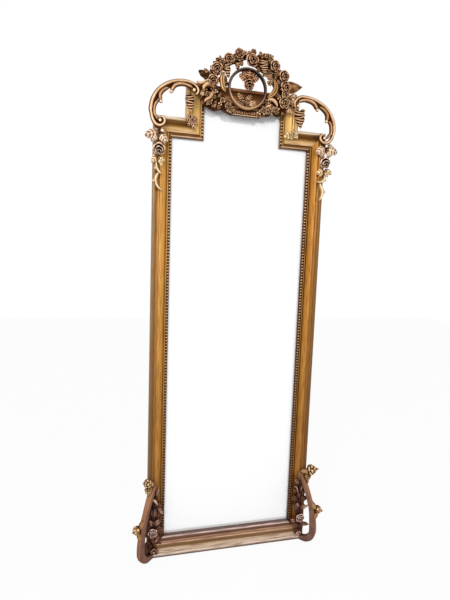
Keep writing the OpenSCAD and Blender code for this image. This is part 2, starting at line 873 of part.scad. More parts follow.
// Middle line of a console in its own plane, from the top, as [reach, height, half thickness].
foot_knots = [[-22.5, foot_h + 2, 5], [2, foot_h - 8, 5.5], [17, foot_h - 44, 6.5],
              [foot_bend - 27, foot_h - 82, 7], [foot_bend - 15, foot_h - 118, 7.5],
              [foot_bend - 4, foot_h - 156, 8.5], [foot_bend, 106, 10], [foot_bend + 1, 69, 11.5],
              [foot_bend + 1, 46, 12.5], [foot_bend - 7, 25, 13], [foot_bend - 24, 12.4, 12.4],
              [foot_bend - 40, 13, 11], [foot_eye[0], foot_eye[1] - 8, 9]];

// Local X is the reach, local Y is up and local Z is across the console.
module in_foot_plane() {
  translate([root_x, -foot_root_v, 0]) rotate([0, 0, -foot_turn]) rotate([90, 0, 0]) children();
}

module foot_block() {
  in_foot_plane() translate([0, 0, -foot_w / 2]) {
    linear_extrude(height = foot_w) polygon(band(curve(foot_knots, 4)));
    translate([foot_eye[0], foot_eye[1], 0]) cylinder(r = 12, h = foot_w, $fn = 48);
  }
}

module right_foot() {
  difference() {
    foot_block();
    slab([[hw - fillet_w, 0], [hw + foot_tip_u, 0], [hw + foot_tip_u, z1], [hw - fillet_w, z1]], 0, deep);
    upright(stile_section(false), hw, z1);
    bottom_bar(false);
    translate([hw, -2 * foot_reach, -foot_w]) cube([2 * foot_reach, 2 * foot_reach, foot_w]);
  }
}

module left_console() {
  color(dark_wood) mirror([1, 0, 0]) right_foot();
}

module right_console() {
  color(dark_wood) right_foot();
}

module foot_bud(reach, height, turn, l) {
  in_foot_plane() translate([reach, height, 0])
    rotate([0, 0, foot_bud_lift]) rotate([0, 90 - turn, 0]) bud(foot_bud_d, l);
}

module right_foot_buds() {
  difference() {
    union() {
      foot_bud(10, foot_h, foot_bud_turn, foot_bud_l + 22);
      foot_bud(foot_bend - 6, low_bud_h, -foot_bud_turn, foot_bud_l);
    }
    foot_block();
    right_stile_bar(false);
  }
}

module left_console_buds() {
  color(rose_gold) mirror([1, 0, 0]) right_foot_buds();
}

module right_console_buds() {
  color(rose_gold) right_foot_buds();
}

foot_rose_x = hw + foot_rose_u;
foot_rose_z = z0 + 12;

module right_low_rose() {
  difference() {
    union() {
      on_front(foot_rose_x, foot_rose_z, seat_v)
        cylinder(d = foot_rose_d * 0.7, h = drop_seat_v - seat_v, $fn = 48);
      on_front(foot_rose_x, foot_rose_z, drop_seat_v) rose(foot_rose_d, 16);
    }
    right_stile_bar(false);
    bottom_bar(false);
    foot_block();
  }
}

module left_foot_rose() {
  color(rose_gold) mirror([1, 0, 0]) right_low_rose();
}

module right_foot_rose() {
  color(rose_gold) right_low_rose();
}

low_leaf_v = round_v - 6;
// The sprig's middle line, as [sideways from the rose, height above it, half width].
sprig_line = [[-12, 153, 3], [-17, 90, 4], [-9, 32, 4]];
// The sprig's leaves, as [sideways from the rose, height above it, turn].
sprig_leaves = [[-13, 132, 60], [-16, 112, 128], [-17, 90, 45], [-15, 68, 150], [-12, 46, 30]];

module right_low_leaves() {
  line = [for (p = sprig_line) [foot_rose_x + p[0], foot_rose_z + p[1], p[2]]];
  difference() {
    union() {
      slab(band(curve(line, 4)), seat_v, round_v + 2);
      for (p = sprig_leaves) leaf_at(foot_rose_x + p[0], foot_rose_z + p[1], low_leaf_v, p[2], 30, 14, 9);
      for (turn = [45, 135, 225, 315])
        on_front(foot_rose_x, foot_rose_z, face_v - 3) rotate([0, 0, turn])
          translate([15, 0, 0]) leaf(27, 14, 11);
    }
    right_stile_bar(false);
    bottom_bar(false);
  }
}

module left_foot_leaves() {
  color(rose_gold) mirror([1, 0, 0]) right_low_leaves();
}

module right_foot_leaves() {
  color(rose_gold) right_low_leaves();
}

// ---- Frame members ----

module right_stile_piece() {
  difference() {
    right_stile_bar(true);
    spline_slots([0, 1]);
    at_stile_clips() clip_pilots();
    at_hanger_screws() countersink(screw_l);
  }
}

module left_stile() {
  color(gold) mirror([1, 0, 0]) right_stile_piece();
}

module right_stile() {
  color(gold) right_stile_piece();
}

module both_sides() {
  children();
  mirror([1, 0, 0]) children();
}

module bottom_rail() {
  color(gold) difference() {
    bottom_bar(true);
    both_sides() spline_slots([0]);
    at_bottom_clips() clip_pilots();
  }
}

module right_shoulder_piece() {
  difference() {
    right_shoulder_bar(true);
    spline_slots([1, 2]);
  }
}

module left_shoulder_rail() {
  color(gold) mirror([1, 0, 0]) right_shoulder_piece();
}

module right_shoulder_rail() {
  color(gold) right_shoulder_piece();
}

module right_upper_piece() {
  difference() {
    right_upper_bar(true);
    spline_slots([2, 3]);
  }
}

module left_upper_stile() {
  color(gold) mirror([1, 0, 0]) right_upper_piece();
}

module right_upper_stile() {
  color(gold) right_upper_piece();
}

module top_rail() {
  color(gold) difference() {
    top_bar(true);
    both_sides() spline_slots([3]);
    at_top_clips() clip_pilots();
  }
}

module corner_splines() {
  color("#c8a878") both_sides() for (i = [0 : 3]) spline_at(i, 0);
}

// ---- Beads ----

// A string of half beads along +Z from z = 0, whose flat side is the plane Y = 0.
module bead_string(room) {
  count = floor(room / bead_pitch);
  start = (room - count * bead_pitch) / 2;
  swell = [for (i = [0 : count - 1], k = [-2 : 2])
    [bead_d / 2 * cos(k * 35), start + (i + 0.5) * bead_pitch + bead_d / 2 * sin(k * 35)]];
  cord = bead_cord_d / 2;
  gaps = [for (p = swell) [max(p[0], cord), p[1]]];
  rotate([0, 0, 180]) rotate_extrude(angle = 180, $fn = 24)
    polygon(concat([[0, start], [cord, start]], gaps, [[cord, room - start], [0, room - start]]));
}

module right_bead_row(x, low, high) {
  translate([x + bead_u, -seat_v, low]) bead_string(high - low);
}

upper_bead_top = garland_low + 12;

module left_beads() {
  color(gold) mirror([1, 0, 0]) right_bead_row(hw, z0 + bead_gap, z1 - bead_gap);
}

module right_beads() {
  color(gold) right_bead_row(hw, z0 + bead_gap, z1 - bead_gap);
}

module left_upper_beads() {
  color(gold) mirror([1, 0, 0]) right_bead_row(uw, z1 + seat_w, upper_bead_top);
}

module right_upper_beads() {
  color(gold) right_bead_row(uw, z1 + seat_w, upper_bead_top);
}

// ---- Mirror plate and back ----

function stepped(grow) =
  let (h = hw + grow, u = uw + grow)
  [[-h, z0 - grow], [h, z0 - grow], [h, z1 + grow], [u, z1 + grow], [u, z2 + grow],
   [-u, z2 + grow], [-u, z1 + grow], [-h, z1 + grow]];

module mirror_plate() {
  color("#e8eef2") slab(stepped(rabbet_w - plate_clear), rabbet_d - plate_t, rabbet_d);
}

module backing_board() {
  color("#a98a62") slab(stepped(rabbet_w - plate_clear), board_v, board_v + board_t);
}

module board_clips() {
  color(steel) {
    both_sides() at_stile_clips() clip();
    at_bottom_clips() clip();
    at_top_clips() clip();
  }
}

module clip_screw() {
  translate([clip_screw_u, 0, clip_t]) screw();
}

module clip_screws() {
  color(steel) {
    both_sides() at_stile_clips() clip_screw();
    at_bottom_clips() clip_screw();
    at_top_clips() clip_screw();
  }
}

// ---- Hanging hardware ----

module left_hanger_strap() {
  color(brass) mirror([1, 0, 0]) right_strap();
}

module right_hanger_strap() {
  color(brass) right_strap();
}

module left_hanger_ring() {
  color(brass) mirror([1, 0, 0]) right_ring();
}

module right_hanger_ring() {
  color(brass) right_ring();
}

module hanger_screws() {
  color(brass) both_sides() at_hanger_screws() screw();
}

module wall_bumpers() {
  color("#2e2a28") both_sides() for (p = bumper_spots)
    on_back(p[0], p[1], 0) cylinder(d = bumper_d, h = bumper_t, $fn = 36);
}

left_stile();
right_stile();
bottom_rail();
left_shoulder_rail();
right_shoulder_rail();
left_upper_stile();
right_upper_stile();
top_rail();
corner_splines();
left_beads();
right_beads();
left_upper_beads();
right_upper_beads();
mirror_plate();
backing_board();
board_clips();
clip_screws();
left_hanger_strap();
right_hanger_strap();
left_hanger_ring();
right_hanger_ring();
hanger_screws();
wall_bumpers();
crest_apron();
left_garland();
right_garland();
crest_ring();
ring_drop();
ring_flower();
left_branch();
right_branch();
left_crest_roses();
right_crest_roses();
crest_rose();
left_crest_leaves();
right_crest_leaves();
left_crest_strap();
right_crest_strap();
left_ear_scroll();
right_ear_scroll();
left_bud_drop();
right_bud_drop();
left_corner_spray();
right_corner_spray();
left_shoulder_leaves();
right_shoulder_leaves();
left_shoulder_rose();
right_shoulder_rose();
left_tail();
right_tail();
left_console();
right_console();
left_console_buds();
right_console_buds();
left_foot_rose();
right_foot_rose();
left_foot_leaves();
right_foot_leaves();
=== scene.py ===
"""Gilt pier mirror: finishes, carving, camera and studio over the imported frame.

Carving is worked out in millimetres in the part's own frame: X to the viewer's right, Z up, and the
front facing -Y, so that a height v above the back lies at Y = -v. The left side's points are mirrored.
"""
import logging
import random
from dataclasses import dataclass
from enum import Enum
from math import acos, atan2, copysign, cos, degrees, exp, hypot, pi, radians, sin, tau
from typing import Callable, Optional, Sequence, TypeVar, Union

import bmesh
import bpy
from mathutils import Matrix, Vector, noise


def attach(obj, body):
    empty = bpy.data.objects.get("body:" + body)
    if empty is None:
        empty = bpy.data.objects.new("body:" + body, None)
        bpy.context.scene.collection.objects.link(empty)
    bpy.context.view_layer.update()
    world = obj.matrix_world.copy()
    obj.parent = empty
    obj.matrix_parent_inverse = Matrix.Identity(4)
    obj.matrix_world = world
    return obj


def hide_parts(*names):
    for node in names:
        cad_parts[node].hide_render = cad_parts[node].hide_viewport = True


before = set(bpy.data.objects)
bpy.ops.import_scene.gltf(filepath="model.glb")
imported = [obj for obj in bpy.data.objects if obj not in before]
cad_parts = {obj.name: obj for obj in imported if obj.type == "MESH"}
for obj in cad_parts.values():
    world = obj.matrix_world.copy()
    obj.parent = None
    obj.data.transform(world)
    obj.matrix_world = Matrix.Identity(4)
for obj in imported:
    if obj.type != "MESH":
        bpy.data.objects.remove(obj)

LOG = logging.getLogger("pier_mirror")
MM = 0.001
Colour = tuple[float, float, float]
Stops = tuple[tuple[float, Colour], ...]
Spot = tuple[float, float]
Knot = tuple[float, ...]
Socket = bpy.types.NodeSocket
Given = Union[Socket, float, Sequence[float], None]
Choice = TypeVar("Choice")

# Places in the frame, in mm: half sight widths, and the heights where the sight edge turns.
LOWER_SIGHT = 257.0
UPPER_SIGHT = 144.0
MOULDING = 66.0
RAIL_TOP = 75.0
SHOULDER = 1575.0
TOP_SIGHT = 1696.0
BEAD_INSET = 5.5
BEAD_V = 20.0

# Heights above the back, in mm, of the mass under the crest's swags and of its ring.
MASS_BACK = 26.0
MASS_FRONT = 53.0
RING_V = 65.0

# Height over which the gilding darkens toward the floor, in metres.
TALL_M = 1.9


class Side(Enum):
    """The viewer's left or right half of the mirror."""

    LEFT = -1
    RIGHT = 1

    @property
    def word(self) -> str:
        """The side's name as the nodes spell it."""
        return self.name.lower()

    def pick(self, left: Choice, right: Choice) -> Choice:
        """Give the left one or the right one of two things."""
        return left if self is Side.LEFT else right


class Profile(Enum):
    """Cross-sections that a swept stem can have."""

    ROUND = 2.0
    SOFT = 3.2
    BAND = 6.0


class Run(Enum):
    """Which way a frame member's width is measured from its sight edge."""

    ACROSS = "x"
    UPWARD = "up"
    DOWNWARD = "down"


def srgb(red: int, green: int, blue: int) -> Colour:
    """Turn a colour as seen on a screen, from 0 to 255, into the linear values that shaders use.

    Args:
        red: Its red.
        green: Its green.
        blue: Its blue.

    Returns:
        The linear colour.
    """
    def linear(value: int) -> float:
        """Undo the screen's curve for one value."""
        share = value / 255
        return share / 12.92 if share <= 0.04045 else ((share + 0.055) / 1.055) ** 2.4
    return linear(red), linear(green), linear(blue)


def stops(*rows: Knot) -> Stops:
    """Turn rows of (place, red, green, blue) into places with linear colours."""
    return tuple((row[0], srgb(*row[1:])) for row in rows)


# ---- Finishes ----


class NodeBench:
    """Adds shader nodes to a material or a world, working from left to right."""

    def __init__(self, owner: bpy.types.ID) -> None:
        """Clear the owner's nodes.

        Args:
            owner: The material or the world.
        """
        self.owner = owner
        owner.use_nodes = True
        self.tree = owner.node_tree
        self.tree.nodes.clear()

    def give(self, slot: Socket, value: Given) -> None:
        """Join a socket to an input, or set a plain value or colour on it.

        Args:
            slot: The input.
            value: A socket, a number, a row of numbers, or None to leave the input alone.
        """
        if isinstance(value, Socket):
            self.tree.links.new(value, slot)
        elif value is not None:
            slot.default_value = (*value, 1.0) if slot.type == "RGBA" else value

    def add(self, kind: str, **inputs: Given) -> bpy.types.Node:
        """Add a node.

        Args:
            kind: The node's kind.
            inputs: What its inputs by name are given.

        Returns:
            The node.
        """
        node = self.tree.nodes.new(f"ShaderNode{kind}")
        for name, value in inputs.items():
            self.give(node.inputs[name], value)
        return node

    def place(self, scale: Sequence[float] = (1, 1, 1)) -> Socket:
        """Give the point on the object, in metres, stretched by a scale."""
        point = self.add("TexCoord").outputs["Object"]
        return self.add("Mapping", Scale=scale, Vector=point).outputs["Vector"]

    def axes(self, point: Socket) -> bpy.types.NodeOutputs:
        """Split a point or a direction into its X, Y and Z."""
        return self.add("SeparateXYZ", Vector=point).outputs

    def grain(self, scale: float, detail: float = 3.0, stretch: Sequence[float] = (1, 1, 1)) -> Socket:
        """Give a soft random pattern from 0 to 1, by its repeats in a metre, its detail and its stretch."""
        return self.add("TexNoise", Scale=scale, Detail=detail, Vector=self.place(stretch)).outputs["Fac"]

    def maths(self, operation: str, first: Given, second: Given = 0.0, third: Given = None,
              clamp: bool = False) -> Socket:
        """Work out one sum.

        Args:
            operation: The sum's name.
            first: A socket or a plain number, as the next two.
            second: The second number.
            third: The third one, where the sum has it.
            clamp: Whether the result is kept from 0 to 1.

        Returns:
            The result.
        """
        node = self.add("Math")
        node.operation, node.use_clamp = operation, clamp
        for slot, value in zip(node.inputs, (first, second, third)):
            self.give(slot, value)
        return node.outputs["Value"]

    def ramp(self, value: Socket, marks: Stops) -> Socket:
        """Turn a value into a colour.

        Args:
            value: The value, from 0 to 1.
            marks: The colours at their places.

        Returns:
            The colour.
        """
        node = self.add("ValToRGB", Fac=value)
        band = node.color_ramp
        while len(band.elements) < len(marks):
            band.elements.new(0.5)
        for element, (at, colour) in zip(band.elements, marks):
            element.position, element.color = at, (*colour, 1.0)
        return node.outputs["Color"]

    def blend(self, share: Given, first: Given, second: Given, how: str = "MIX") -> Socket:
        """Mix two colours.

        Args:
            share: The share of the second one.
            first: A socket or a plain colour.
            second: The other one.
            how: The way of mixing.

        Returns:
            The mixed colour.
        """
        node = self.add("Mix")
        node.data_type, node.blend_type = "RGBA", how
        for n, value in ((0, share), (6, first), (7, second)):
            self.give(node.inputs[n], value)
        return node.outputs[2]

    def carried(self, name: str) -> Socket:
        """Read a value that the mesh carries at its points.

        Args:
            name: The value's name.

        Returns:
            The value.
        """
        node = self.add("Attribute")
        node.attribute_name = name
        return node.outputs["Fac"]

    def openness(self, reach: float) -> Socket:
        """Tell open carving from hollows.

        Args:
            reach: How near another face shades a point, in metres.

        Returns:
            1 in the open, and less in hollows.
        """
        node = self.add("AmbientOcclusion", Distance=reach)
        node.samples = 6
        return node.outputs["AO"]

    def backward(self) -> Socket:
        """Give 1 on faces that look back to the wall, and 0 on the others."""
        facing = self.axes(self.add("NewGeometry").outputs["True Normal"])
        return self.maths("GREATER_THAN", facing["Y"], 0.5)

    def seen(self) -> Socket:
        """Give 1 to what the camera and reflections meet, and 0 to the light that falls."""
        ray = self.add("LightPath").outputs
        return self.maths("MAXIMUM", ray["Is Camera Ray"], ray["Is Glossy Ray"])

    def mixed(self, share: Socket, first: Socket, second: Socket) -> Socket:
        """Mix two shaders.

        Args:
            share: The share of the second one.
            first: The first shader.
            second: The second one.

        Returns:
            The mixed shader.
        """
        node = self.add("MixShader")
        for slot, value in zip(node.inputs, (share, first, second)):
            self.give(slot, value)
        return node.outputs["Shader"]

    def darkened_below(self, colour: Socket, height: Socket, floor_darkening: Stops) -> Socket:
        """Darken a colour by how near the floor it is, with the height in metres."""
        share = self.maths("MULTIPLY", height, 1 / TALL_M, clamp=True)
        return self.blend(1.0, colour, self.ramp(share, floor_darkening), "MULTIPLY")

    def paint(self, colour: Given, rough: Given, metal: float, relief: tuple[Union[Socket, float], ...],
              shine: Optional[float] = None) -> bpy.types.Material:
        """Give the material its shader.

        Args:
            colour: Its colour.
            rough: Its roughness.
            metal: How metallic it is.
            relief: The bump's height, strength and distance in metres, or empty for a smooth face.
            shine: How strongly gilding reflects, in the tint of its sheen.

        Returns:
            The finished material.
        """
        shader = self.add("BsdfPrincipled", **{"Base Color": colour, "Roughness": rough, "Metallic": metal})
        if shine is not None:
            self.give(shader.inputs["Specular IOR Level"], shine)
            self.give(shader.inputs["Specular Tint"], SHEEN)
        if relief:
            height, strength, distance = relief
            bump = self.add("Bump", Height=height, Strength=strength, Distance=distance)
            self.give(shader.inputs["Normal"], bump.outputs["Normal"])
        self.add("OutputMaterial", Surface=shader.outputs["BSDF"])
        return self.owner


def between(first: Colour, second: Colour, share: float) -> Colour:
    """Mix two plain colours, with a share of the first one."""
    return tuple(share * a + (1 - share) * b for a, b in zip(first, second))


WHITE = (1.0, 1.0, 1.0)
SHEEN = srgb(226, 176, 122)
TIMBER = ((0.32, srgb(126, 88, 54)), (0.7, srgb(160, 120, 80)))


@dataclass(frozen=True)
class CarvedGilt:
    """Leaf gilding over carving, with painted shade and dark waxing in the hollows and painted highlights on
    rubbed edges.
    """

    name: str
    slot: str
    shadow: Colour
    body: Colour
    light: Colour
    mottle: float
    lit_side: Optional[Colour] = None
    rough: float = 0.42
    metal: float = 0.35
    wax_and_shade: float = 0.9
    reach: float = 0.012

    def build(self) -> bpy.types.Material:
        """Make the material.

        Returns:
            The finished material.
        """
        bench = NodeBench(bpy.data.materials.new(self.name))
        fine, broad = bench.grain(420, 4), bench.grain(38, 3)
        patches = bench.maths("ADD", bench.maths("MULTIPLY", fine, 0.55),
                              bench.maths("MULTIPLY", broad, 0.45))
        shift = bench.maths("MULTIPLY_ADD", patches, self.mottle * 2, -self.mottle)
        # Painted shade: ambient occlusion darkens the hollows along with the dark waxing; the ramp runs from
        # painted shadow at low tones to painted highlight at high ones.
        hollow = bench.maths("MULTIPLY_ADD", bench.openness(self.reach), self.wax_and_shade, -0.78 * self.wax_and_shade)
        depth = bench.maths("ADD", bench.carried("tone"), bench.maths("ADD", shift, hollow), clamp=True)
        colour = bench.ramp(depth, ((0.18, self.shadow), (0.49, between(self.body, self.shadow, 0.35)),
                                    (0.75, self.body), (0.92, between(self.body, self.light, 0.5)),
                                    (1.0, self.light)))
        # Painted light: a lit face takes a lighter second colour, mixed toward the highlight colour.
        if self.lit_side:
            mix = bench.maths("MULTIPLY", bench.carried("lit_side"), 1.0, clamp=True)
            glow = bench.blend(bench.maths("MULTIPLY", patches, 0.6), self.lit_side, self.light)
            colour = bench.blend(mix, colour, glow)
        worn = bench.maths("MULTIPLY_ADD", fine, 0.3, self.rough - 0.12)
        return bench.paint(colour, worn, self.metal, (fine, 0.35, 0.0006), 0.12)


@dataclass(frozen=True)
class MouldingGilt:
    """Burnished gilding whose tone across a moulding holds painted highlights and painted shade, streaked
    along it, on bare wood behind.
    """

    name: str
    run: Run
    edge: float
    tones: Stops
    streak: Colour
    floor_darkening: Stops = ((0.0, WHITE), (1.0, WHITE))
    width: float = MOULDING
    rough: float = 0.34
    metal: float = 0.3

    def build(self) -> bpy.types.Material:
        """Make the material.

        Returns:
            The finished material.
        """
        bench = NodeBench(bpy.data.materials.new(self.name))
        point = bench.axes(bench.place())
        if self.run is Run.ACROSS:
            place = bench.maths("SUBTRACT", bench.maths("ABSOLUTE", point["X"]), self.edge * MM)
            along = (1, 1, 0.06)
        else:
            place = bench.maths("SUBTRACT", point["Z"], self.edge * MM)
            along = (0.06, 1, 1)
        if self.run is Run.DOWNWARD:
            place = bench.maths("MULTIPLY", place, -1.0)
        share = bench.maths("DIVIDE", place, self.width * MM)
        wander = bench.maths("MULTIPLY_ADD", bench.grain(60, 2, along), 0.05, -0.025)
        colour = bench.ramp(bench.maths("ADD", share, wander, clamp=True), self.tones)
        streaks = bench.grain(260, 5, along)
        strength = bench.maths("SUBTRACT", streaks, 0.46, clamp=True)
        strength = bench.maths("MULTIPLY", strength, 3.4, clamp=True)
        colour = bench.darkened_below(bench.blend(strength, colour, self.streak), point["Z"], self.floor_darkening)
        cloud = bench.ramp(bench.grain(9, 4), ((0.3, (0.86, 0.82, 0.78)), (0.7, WHITE)))
        colour = bench.blend(1.0, colour, cloud, "MULTIPLY")
        colour = bench.blend(bench.backward(), colour, bench.ramp(bench.grain(90, 5, along), TIMBER))
        worn = bench.maths("MULTIPLY_ADD", streaks, 0.25, self.rough - 0.1)
        both = bench.maths("ADD", bench.maths("MULTIPLY", streaks, 0.7),
                           bench.maths("MULTIPLY", bench.grain(700, 3), 0.3))
        return bench.paint(colour, worn, self.metal, (both, 0.25, 0.0005), 0.3)


@dataclass(frozen=True)
class Plain:
    """A hidden or hardware finish: one colour with grain, wear and a fine bump."""

    name: str
    body: Colour
    worn: Colour
    rough: float
    metal: float
    scale: float
    stretch: tuple[float, float, float] = (1, 1, 1)
    relief: float = 0.0003

    def build(self) -> bpy.types.Material:
        """Make the material.

        Returns:
            The finished material.
        """
        bench = NodeBench(bpy.data.materials.new(self.name))
        grain = bench.grain(self.scale, 5, self.stretch)
        colour = bench.ramp(grain, ((0.35, self.body), (0.68, self.worn)))
        rough = bench.maths("MULTIPLY_ADD", grain, 0.2, self.rough - 0.1)
        return bench.paint(colour, rough, self.metal, (grain, 0.3, self.relief))


@dataclass(frozen=True)
class BeadGilt:
    """Gilding on a bead string, with painted highlights on the beads' crowns and painted shade on the cord
    between them.
    """

    name: str
    axis_x: float
    floor_darkening: Stops
    tones: Stops = stops((0.2, 52, 28, 12), (0.62, 150, 104, 60), (0.95, 255, 224, 184))
    cord_radius: float = 2.0
    bead_radius: float = 4.0

    def build(self) -> bpy.types.Material:
        """Make the material.

        Returns:
            The finished material.
        """
        bench = NodeBench(bpy.data.materials.new(self.name))
        point = bench.axes(bench.place())
        aside = bench.maths("SUBTRACT", bench.maths("ABSOLUTE", point["X"]), self.axis_x * MM)
        out = bench.maths("ADD", point["Y"], BEAD_V * MM)
        # Painted highlight on the crowns and painted shade on the cord, by distance from the string's axis.
        square = bench.maths("MULTIPLY_ADD", aside, aside, bench.maths("MULTIPLY", out, out))
        girth = bench.maths("SQRT", square)
        share = bench.maths("DIVIDE", bench.maths("SUBTRACT", girth, self.cord_radius * MM),
                            (self.bead_radius - self.cord_radius) * MM, clamp=True)
        fine = bench.grain(240, 3)
        share = bench.maths("ADD", share, bench.maths("MULTIPLY_ADD", fine, 0.3, -0.15), clamp=True)
        colour = bench.darkened_below(bench.ramp(share, self.tones), point["Z"], self.floor_darkening)
        rough = bench.maths("MULTIPLY_ADD", fine, 0.25, 0.25)
        return bench.paint(colour, rough, 0.35, (fine, 0.2, 0.0003), 0.25)


@dataclass(frozen=True)
class SilveredGlass:
    """Mirror glass: a clean silvered face with the faintest unevenness."""

    name: str = "silvered_glass"
    metal: float = 0.25

    def build(self) -> bpy.types.Material:
        """Make the material.

        Returns:
            The finished material.
        """
        bench = NodeBench(bpy.data.materials.new(self.name))
        tint = bench.ramp(bench.grain(2.5, 2), stops((0.3, 252, 253, 254), (0.7, 255, 255, 255)))
        return bench.paint(tint, bench.maths("MULTIPLY_ADD", bench.grain(14, 2), 0.03, 0.02), self.metal, ())


# Tones across each moulding, from its sight edge (0) to its outer edge (1): the gold's colour with painted
# highlights on the rounds and fillets and painted shade in the coves and along the edges.
STILE_TONES = stops(
    (0.0, 58, 34, 14), (0.145, 96, 64, 30), (0.17, 206, 160, 96), (0.20, 212, 164, 98), (0.225, 132, 88, 34),
    (0.27, 150, 100, 38), (0.31, 196, 140, 64), (0.44, 214, 158, 82), (0.56, 224, 168, 94),
    (0.61, 196, 142, 76), (0.68, 186, 136, 76), (0.78, 176, 134, 86), (0.86, 140, 108, 70),
    (1.0, 152, 134, 108))
UPPER_TONES = tuple((at, between(colour, srgb(255, 218, 146), 0.5) if at > 0.24 else colour)
                    for at, colour in STILE_TONES)
SHOULDER_TONES = stops(
    (0.0, 58, 38, 24), (0.03, 84, 60, 42), (0.05, 214, 182, 152), (0.095, 206, 170, 138), (0.12, 92, 58, 26),
    (0.235, 110, 72, 32), (0.26, 228, 188, 140), (0.44, 222, 180, 126), (0.50, 172, 130, 76),
    (0.58, 104, 66, 22), (0.68, 92, 56, 14), (0.76, 110, 74, 34), (0.82, 166, 134, 98), (0.88, 240, 216, 188),
    (0.95, 250, 232, 212), (1.0, 214, 198, 182))
TOP_TONES = stops(
    (0.0, 66, 44, 28), (0.02, 206, 160, 120), (0.10, 186, 134, 92), (0.12, 82, 46, 22), (0.24, 110, 66, 34),
    (0.27, 196, 138, 92), (0.50, 178, 116, 72), (0.64, 112, 66, 36), (0.80, 96, 56, 30), (0.90, 166, 112, 76),
    (1.0, 190, 140, 104))
BOTTOM_TONES = stops(
    (0.0, 112, 98, 98), (0.03, 124, 106, 104), (0.05, 226, 200, 196), (0.14, 240, 214, 206),
    (0.165, 140, 110, 102), (0.22, 104, 76, 64), (0.29, 96, 66, 50), (0.325, 186, 150, 128),
    (0.35, 176, 138, 114), (0.37, 124, 86, 64), (0.405, 220, 182, 152), (0.475, 222, 184, 152),
    (0.50, 140, 106, 78), (0.60, 118, 88, 60), (0.635, 140, 112, 86), (0.66, 200, 172, 142),
    (0.73, 224, 202, 178), (0.82, 234, 214, 198), (0.86, 150, 134, 124), (0.91, 84, 74, 66),
    (1.0, 84, 76, 70))

# How much darker the gilding is from the floor (0) to the top (1).
STILE_DARKENING = ((0.0, (0.22, 0.17, 0.24)), (0.06, (0.28, 0.23, 0.30)), (0.11, (0.50, 0.44, 0.44)),
                (0.16, (0.66, 0.60, 0.56)), (0.42, (0.88, 0.84, 0.80)), (0.60, WHITE), (1.0, WHITE))
# Painted shade on the right stile: darker all over, and darker again toward the floor.
RIGHT_STILE_SHADE = ((0.0, (0.34, 0.27, 0.30)), (0.06, (0.40, 0.32, 0.34)), (0.12, (0.58, 0.50, 0.46)),
                 (0.42, (0.74, 0.67, 0.56)), (0.62, (0.78, 0.68, 0.54)), (0.86, (0.92, 0.86, 0.78)),
                 (1.0, WHITE))
BEAD_DARKENING = ((0.0, (0.30, 0.22, 0.20)), (0.12, (0.42, 0.34, 0.32)), (0.3, (0.60, 0.54, 0.50)),
               (0.6, (0.80, 0.76, 0.72)), (0.85, WHITE), (1.0, WHITE))

STILE_GILT = MouldingGilt("stile_gilt", Run.ACROSS, LOWER_SIGHT, STILE_TONES, srgb(146, 98, 40), STILE_DARKENING)
# The right stile takes painted shade.
RIGHT_STILE_GILT = MouldingGilt("right_stile_gilt", Run.ACROSS, LOWER_SIGHT, STILE_TONES, srgb(150, 96, 34),
                                RIGHT_STILE_SHADE)
UPPER_STILE_GILT = MouldingGilt("upper_stile_gilt", Run.ACROSS, UPPER_SIGHT, UPPER_TONES, srgb(226, 176, 98))
SHOULDER_GILT = MouldingGilt("shoulder_gilt", Run.UPWARD, SHOULDER, SHOULDER_TONES, srgb(140, 100, 52))
TOP_GILT = MouldingGilt("top_rail_gilt", Run.UPWARD, TOP_SIGHT, TOP_TONES, srgb(120, 70, 36))
BOTTOM_GILT = MouldingGilt("bottom_rail_gilt", Run.DOWNWARD, RAIL_TOP, BOTTOM_TONES, srgb(120, 80, 58),
                           width=RAIL_TOP)
LOWER_BEAD_GILT = BeadGilt("lower_bead_gilt", LOWER_SIGHT + BEAD_INSET, BEAD_DARKENING)
UPPER_BEAD_GILT = BeadGilt("upper_bead_gilt", UPPER_SIGHT + BEAD_INSET, BEAD_DARKENING)
BOARD = Plain("back_board", srgb(146, 116, 80), srgb(176, 146, 106), 0.75, 0.0, 40, (1, 1, 0.05))
SPLINE_WOOD = Plain("spline_wood", srgb(190, 156, 110), srgb(210, 178, 134), 0.7, 0.0, 60, (0.1, 1, 1))
ZINC = Plain("zinc_steel", srgb(150, 152, 156), srgb(186, 188, 192), 0.38, 0.9, 300)
BRASS = Plain("brass", srgb(170, 132, 70), srgb(206, 168, 98), 0.34, 0.95, 260)
RUBBER = Plain("bumper_rubber", srgb(40, 38, 36), srgb(58, 55, 52), 0.8, 0.0, 500)

